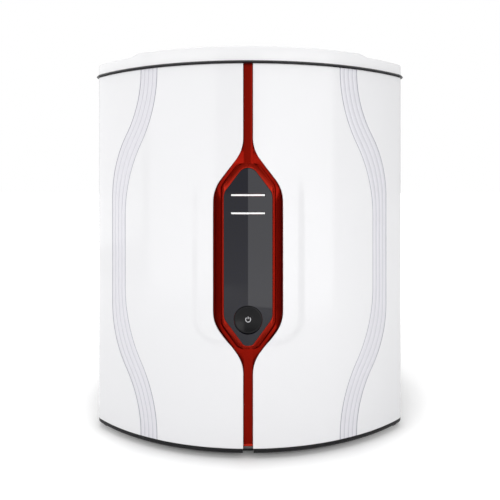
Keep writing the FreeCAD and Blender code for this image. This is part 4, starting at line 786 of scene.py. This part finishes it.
def screw_mesh():
    """A pan head with a cross cut into it, facing up, 6 mm across."""
    form = bmesh.new()
    turns = [2 * math.pi * (n + 0.5) / SCREW_SIDES for n in range(SCREW_SIDES)]
    profile = [(3.0, -0.4), (3.0, 0.5), (2.8, 0.95), (2.2, 1.35), (1.3, 1.55)]
    rings = [[form.verts.new((radius * MM * math.cos(a), radius * MM * math.sin(a), height * MM))
              for a in turns] for radius, height in profile]
    cross = []
    for n, a in enumerate(turns):
        reach = (CROSS_ARM if n % 6 in (0, 5) else CROSS_WAIST) * MM
        cross.append(form.verts.new((reach * math.cos(a), reach * math.sin(a), CROSS_TOP * MM)))
    floor = [form.verts.new((v.co.x * 0.8, v.co.y * 0.8, CROSS_FLOOR * MM)) for v in cross]
    rings += [cross, floor]
    for low, high in zip(rings, rings[1:]):
        for n in range(SCREW_SIDES):
            after = (n + 1) % SCREW_SIDES
            form.faces.new((low[n], low[after], high[after], high[n]))
    form.faces.new(floor)
    form.faces.new(rings[0][::-1])
    mesh = bpy.data.meshes.new("pan_head")
    form.to_mesh(mesh)
    form.free()
    return mesh


REAR_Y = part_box("back_panel")[1][1] / MM
zinc = finish("zinc_plate", (0.62, 0.63, 0.65), 0.3, scale=120, tone=0.15, bump=0.03, Metallic=1.0)
spots = [(x, REAR_Y, z) for x in (-172, 172) for z in (22, 118, 214, 310, 405)]
spots += [(x, REAR_Y, z) for x in (-86, 86) for z in (18, 409)]
repeated("panel_screws", screw_mesh(), spots, (math.radians(-90), 0, 0), "cabinet", "steel", zinc)

# Rear ports and mains inlet
# Push-in tube ports with a release ring round each bore, and a black three-pole inlet whose blades
# stand in its socket. Acetal and glass-filled nylon, snapped in from outside.

acetal = finish("grey_acetal", (0.5, 0.51, 0.52), 0.38, scale=80, tone=0.06, bump=0.05)
collet_blue = finish("collet_blue", (0.02, 0.07, 0.22), 0.3, scale=120, tone=0.1, bump=0.03)
COLLET_BORE, COLLET_NECK, COLLET_RADIUS, COLLET_LENGTH, COLLET_PROUD = 4.1, 4.7, 6.0, 5.0, 0.9
collet = [(COLLET_BORE, COLLET_LENGTH), (COLLET_BORE, 0.25), (COLLET_BORE + 0.25, 0.02),
          (5.6, 0.02), (COLLET_RADIUS, 0.3), (COLLET_RADIUS, COLLET_PROUD),
          (COLLET_NECK, COLLET_PROUD), (COLLET_NECK, COLLET_LENGTH), (COLLET_BORE, COLLET_LENGTH)]
for port in ("feed", "drain", "product"):
    softened(f"{port}_port", f"{port}_port_body", "cabinet", "port_grey", acetal, 0.6)
    low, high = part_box(f"{port}_port")
    spot = ((low[0] + high[0]) / 2 / MM, high[1] / MM, (low[2] + high[2]) / 2 / MM)
    ring = turned_mesh(f"{port}_collet", collet, spot, 48)
    add_piece(f"{port}_collet", ring, "cabinet", "port_grey", collet_blue)
nylon = finish("black_nylon", (0.012, 0.012, 0.013), 0.45, scale=90, fine=1500, tone=0.2, grain=1,
               bump=0.1)
softened("mains_inlet", "inlet_housing", "cabinet", "inlet_black", nylon, 0.4)

# Feet
# Four soft round pads that keep the cabinet from sliding. Moulded black rubber, bonded under
# the tray.

rubber = finish("matt_rubber", (0.014, 0.014, 0.014), 0.75, scale=120, fine=1800, tone=0.25,
                grain=1, bump=0.2)
softened("rubber_feet", "foot_pads", "cabinet", "rubber", rubber, 0.8)

# Inner frame
# A plated sheet bulkhead parts the pack bays from the works; a moulded grey column carries the
# console. Both are seen when the doors stand open.

spangle = finish("plated_sheet", (0.55, 0.56, 0.58), 0.34, scale=70, fine=500, tone=0.22, grain=0.4,
                 bump=0.05, Metallic=1.0)
moulded_grey = finish("moulded_grey", (0.075, 0.08, 0.088), 0.45, scale=60, fine=1400, tone=0.12,
                      grain=1, bump=0.1)
softened("bulkhead", "bulkhead_sheet", "cabinet", "plated_sheet", spangle, 0.3)
softened("spine_column", "console_column", "cabinet", "head_grey", moulded_grey, 0.6)

# Hinges and catches
# Steel pins gripped by the liners turn in acetal bushes; black magnets on the column hold the
# steel strikes on the doors.

steel = finish("brushed_steel", (0.58, 0.58, 0.59), 0.28, scale=220, tone=0.12, bump=0.05,
               Metallic=1.0)
bush = finish("natural_acetal", (0.72, 0.7, 0.62), 0.4, scale=90, tone=0.05, bump=0.05)
ferrite = finish("ferrite_case", (0.02, 0.02, 0.021), 0.5, scale=150, tone=0.2, grain=1, bump=0.12)
for side in ("left", "right"):
    softened(f"{side}_hinge_pins", f"{side}_pins", f"{side}_door", "steel", steel, 0.3, 2)
    softened(f"{side}_strike_plates", f"{side}_strikes", f"{side}_door", "steel", steel, 0.25, 2)
softened("hinge_bushes", "pin_bushes", "cabinet", "bush_polymer", bush, 0.3, 2)
softened("catch_magnets", "door_magnets", "cabinet", "magnet_black", ferrite, 0.6)

# Purification packs
# Two blow-moulded bottles in drip trays, each with a ribbed blue cap that docks in a grey head and
# is held by a blue lever. The bodies are satin polypropylene with shallow grip rings.

polypropylene = finish("satin_polypropylene", (0.72, 0.75, 0.77), 0.38, scale=18, fine=700,
                       tone=0.06, grain=1, bump=0.06, Subsurface_Weight=0.15,
                       Subsurface_Scale=0.01)
blue = finish("moulded_blue", (0.012, 0.06, 0.2), 0.3, scale=70, tone=0.12, bump=0.04)
BOTTLE_RADIUS, HEEL_RADIUS, NECK_RADIUS, NECK_HEIGHT = 38, 5, 16, 12
SHOULDER_RADIUS = BOTTLE_RADIUS - NECK_RADIUS
CAP_RADIUS, CAP_RIBS, RIB_WAVE = 18.8, 36, (0, 0.35, 0.9, 0.35)


def pack_profile(height):
    """Base heel, body with four shallow rings, round shoulder and neck."""
    heel = BOTTLE_RADIUS - HEEL_RADIUS
    steps = [(0, 1.5), (26, 1.5), (30, 0), (34, 0.3)]
    steps += [(heel + HEEL_RADIUS * math.sin(turn), HEEL_RADIUS - HEEL_RADIUS * math.cos(turn))
              for turn in (math.radians(a) for a in (20, 40, 60, 80, 90))]
    for ring in (0.18, 0.36, 0.54, 0.72):
        for away, sink in ((-9, 0), (-7, 0.4), (-5, 1.3), (0, 1.5), (5, 1.3), (7, 0.4), (9, 0)):
            steps.append((BOTTLE_RADIUS - sink, ring * height + away))
    neck = height - NECK_HEIGHT
    steps += [(NECK_RADIUS + SHOULDER_RADIUS * math.cos(turn),
               neck - SHOULDER_RADIUS - 2 + SHOULDER_RADIUS * math.sin(turn))
              for turn in (math.radians(a) for a in (0, 15, 30, 45, 60, 72, 82))]
    steps += [(18.2, neck - 1.2), (16.4, neck), (NECK_RADIUS, neck + 1), (NECK_RADIUS, height)]
    return steps + [(0, height)]


def ribbed_cap(name, spot, tall):
    """A screw cap: a turned drum whose wall is drawn in between its grip ribs."""
    count, radius = CAP_RIBS * len(RIB_WAVE), CAP_RADIUS
    levels = [(0, 0.0, 0), (radius - 0.4, 0.0, 0), (radius, 0.6, 0), (radius, 1.6, 1),
              (radius, tall - 2.6, 1), (radius, tall - 1.7, 0), (radius - 0.3, tall - 0.7, 0),
              (radius - 1.1, tall, 0), (7, tall, 0), (6.4, tall - 0.5, 0), (0, tall - 0.5, 0)]
    points = []
    for reach, height, grip in levels:
        for n in range(count):
            turn = 2 * math.pi * n / count
            out = reach - RIB_WAVE[n % len(RIB_WAVE)] * grip
            x, y = out * math.cos(turn), out * math.sin(turn)
            points.append((spot[0] + x, spot[1] + y, spot[2] + height))
    mesh = smooth_mesh(name, points, lattice(len(levels), count, closed=True), 40)
    mend_mesh(mesh, TURNED_MERGE)
    return mesh


for side in ("left", "right"):
    low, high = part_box(f"{side}_pack_body")
    spot = ((low[0] + high[0]) / 2 / MM, (low[1] + high[1]) / 2 / MM, low[2] / MM)
    bottle = pack_profile((high[2] - low[2]) / MM)
    add_piece(f"{side}_bottle", turned_mesh(f"{side}_bottle", bottle, spot, 96, "z"), "cabinet",
              "pack_white", polypropylene, f"{side}_pack_body")
    low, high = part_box(f"{side}_pack_cap")
    spot = (spot[0], spot[1], low[2] / MM)
    cap = ribbed_cap(f"{side}_cap", spot, (high[2] - low[2]) / MM)
    add_piece(f"{side}_cap", cap, "cabinet", "pack_blue", blue, f"{side}_pack_cap")
    softened(f"{side}_pack_cradle", f"{side}_cradle", "cabinet", "head_grey", moulded_grey, 0.8)
    softened(f"{side}_manifold", f"{side}_docking_head", "cabinet", "head_grey", moulded_grey, 1.0)
    softened(f"{side}_lock_lever", f"{side}_lever", f"{side}_lever", "lever_blue", blue, 0.9)

# Works and console parts
# Lamp, pump, regulator, valve, cell, supply and circuits, held on bulkhead, tray and left side or
# behind the window. Bought in, of steel, enamel and nylon, with polyethylene tubes.

enamel = finish("black_enamel", (0.014, 0.014, 0.016), 0.3, scale=50, tone=0.2, bump=0.05)
mask_green = finish("solder_mask", (0.008, 0.06, 0.028), 0.3, scale=160, tone=0.35, bump=0.08)
display_glass = finish("display_glass", (0.003, 0.003, 0.004), 0.15, scale=90, tone=0.2, bump=0.01)
polyethylene = finish("natural_polyethylene", (0.66, 0.7, 0.72), 0.28, scale=90, tone=0.06,
                      bump=0.04, Subsurface_Weight=0.2, Subsurface_Scale=0.004)
for node, name, slot, material, width in (
        ("uv_lamp_housing", "lamp_chamber", "steel", steel, 1.2),
        ("uv_end_caps", "lamp_nuts", "head_grey", moulded_grey, 0.8),
        ("uv_clamps", "lamp_saddles", "head_grey", moulded_grey, 0.8),
        ("pump_motor", "pump_barrel", "pump_black", enamel, 2.0),
        ("pump_head", "pump_block", "head_grey", moulded_grey, 1.0),
        ("pump_bracket", "pump_saddle", "plated_sheet", spangle, 0.5),
        ("pressure_regulator", "regulator_block", "head_grey", moulded_grey, 0.8),
        ("drain_valve", "solenoid_valve", "inlet_black", nylon, 0.6),
        ("quality_cell", "resistivity_cell", "steel", steel, 0.8),
        ("power_supply", "supply_case", "plated_sheet", spangle, 0.8),
        ("control_board", "control_circuit", "board_green", mask_green, 0.2),
        ("console_board", "console_circuit", "board_green", mask_green, 0.2),
        ("board_posts", "circuit_posts", "plated_sheet", spangle, 0.3),
        ("button_switch", "tact_switch", "inlet_black", nylon, 0.3),
        ("display_module", "display_block", "display_black", display_glass, 0.4),
        ("feed_tube", "feed_line", "tube_white", polyethylene, 0.3),
        ("suction_tube", "suction_line", "tube_white", polyethylene, 0.5),
        ("pump_tube", "pump_line", "tube_white", polyethylene, 0.5),
        ("product_tube", "product_line", "tube_white", polyethylene, 0.5)):
    softened(node, name, "cabinet", slot, material, width)

# Floor, light and camera
# A pale floor that takes the shadow; its glow, seen by camera, glossy and transmission rays, is
# held low in a ring round the cabinet as painted shadow. Soft boxes at the right and left front
# reach the floor, with a wing at each side and one above. The backdrop is white where it is seen.


def seen_by(tree, link):
    """One for camera, glossy and transmission rays, none for other light."""
    path = tree.new("ShaderNodeLightPath")
    first, second = tree.new("ShaderNodeMath"), tree.new("ShaderNodeMath")
    for node in (first, second):
        node.operation = "MAXIMUM"
    link(path.outputs["Is Camera Ray"], first.inputs[0])
    link(path.outputs["Is Glossy Ray"], first.inputs[1])
    link(first.outputs[0], second.inputs[0])
    link(path.outputs["Is Transmission Ray"], second.inputs[1])
    return second.outputs[0]


# The floor's seen glow stays low within the first stop's distance of the centre and rises beyond
# it: a painted shadow ring round the cabinet.
FLOOR_HALF = 20
GLOW_CENTRE, PAINTED_SHADOW_EDGE, GLOW_STOPS = (0, 0.015, 0), (0.192, 0.05), ((0.245, 0.4), (1.0, 0.35))
floor_mesh = bpy.data.meshes.new("floor")
corners = [(FLOOR_HALF * x, FLOOR_HALF * y, 0) for x, y in ((-1, -1), (1, -1), (1, 1), (-1, 1))]
floor_mesh.from_pydata(corners, [], [(0, 1, 2, 3)])
floor = bpy.data.objects.new("floor", floor_mesh)
bpy.context.collection.objects.link(floor)
pale = bpy.data.materials.new("pale_floor")
pale.use_nodes = True
tree, link = pale.node_tree.nodes, pale.node_tree.links.new
shader = tree["Principled BSDF"]
shader.inputs["Base Color"].default_value = (0.86, 0.86, 0.86, 1)
shader.inputs["Roughness"].default_value = 1
shader.inputs["Specular IOR Level"].default_value = 0
shader.inputs["Emission Color"].default_value = (1, 1, 1, 1)
spot = tree.new("ShaderNodeTexCoord")
away = tree.new("ShaderNodeVectorMath")
away.operation = "DISTANCE"
away.inputs[1].default_value = GLOW_CENTRE
link(spot.outputs["Object"], away.inputs[0])
glow_and_painted_shadow = tree.new("ShaderNodeValToRGB")
for place, shade in GLOW_STOPS:
    stop = glow_and_painted_shadow.color_ramp.elements.new(place)
    stop.color = (shade, shade, shade, 1)
glow_and_painted_shadow.color_ramp.elements[0].position = PAINTED_SHADOW_EDGE[0]
glow_and_painted_shadow.color_ramp.elements[0].color = (*[PAINTED_SHADOW_EDGE[1]] * 3, 1)
glow_and_painted_shadow.color_ramp.elements.remove(glow_and_painted_shadow.color_ramp.elements[-1])
link(away.outputs["Value"], glow_and_painted_shadow.inputs["Fac"])
lift = tree.new("ShaderNodeMath")
lift.operation = "MULTIPLY"
link(glow_and_painted_shadow.outputs["Color"], lift.inputs[0])
link(seen_by(tree, link), lift.inputs[1])
link(lift.outputs[0], shader.inputs["Emission Strength"])
floor_mesh.materials.append(pale)

world = bpy.data.worlds.new("studio")
bpy.context.scene.world = world
world.use_nodes = True
tree, link = world.node_tree.nodes, world.node_tree.links.new
backdrop = tree["Background"]
backdrop.inputs["Color"].default_value = (1, 1, 1, 1)
level = tree.new("ShaderNodeMapRange")
level.inputs["To Min"].default_value = 0.38
level.inputs["To Max"].default_value = 1.0
link(seen_by(tree, link), level.inputs["Value"])
link(level.outputs["Result"], backdrop.inputs["Strength"])


DOORS_FRONT = -0.185


def area_lamp(name, width, height, radiance, place, turn=(0, 0, 0)):
    """A rectangular lamp of one brightness that the camera doesn't see."""
    lamp = bpy.data.lights.new(name, "AREA")
    lamp.shape = "RECTANGLE"
    lamp.size, lamp.size_y = width, height
    lamp.energy = radiance * math.pi * lamp.size * lamp.size_y
    holder = bpy.data.objects.new(name, lamp)
    bpy.context.collection.objects.link(holder)
    holder.location = place
    holder.rotation_euler = turn
    holder.visible_camera = False


def soft_box(name, bearings, distance, low, high, radiance):
    """An upright lamp that fills a range of bearings from the middle of the doors."""
    angle = math.radians(sum(bearings) / 2)
    half = math.radians(bearings[1] - bearings[0]) / 2
    across, forward = distance * math.sin(angle), DOORS_FRONT - distance * math.cos(angle)
    area_lamp(name, 2 * distance * math.tan(half), high - low, radiance,
              (across, forward, (low + high) / 2), (math.radians(90), 0, angle))


soft_box("right_box", (5, 55), 0.65, 0.002, 0.66, 1.65)
soft_box("left_box", (-66, -22), 0.9, 0.002, 0.78, 1.25)
soft_box("left_wing", (-115, -70), 1.2, 0.1, 1.2, 1.0)
soft_box("right_wing", (60, 105), 1.2, 0.1, 1.2, 0.15)
area_lamp("top_box", 2.0, 1.6, 1.6, (0, 0.1, 1.9))

SENSOR, FOCAL_PIXELS, PICTURE_PIXELS = 36, 514, 500
view = bpy.data.cameras.new("camera")
camera = bpy.data.objects.new("camera", view)
bpy.context.collection.objects.link(camera)
camera.location = (0.015, -0.7256, 0.287)
camera.rotation_euler = (math.radians(90), 0, 0)
view.sensor_width = SENSOR
view.lens = FOCAL_PIXELS / PICTURE_PIXELS * SENSOR
view.shift_x, view.shift_y = -0.0247, -0.128
view.clip_start = 0.01
bpy.context.scene.camera = camera
bpy.context.scene.view_settings.view_transform = "Standard"
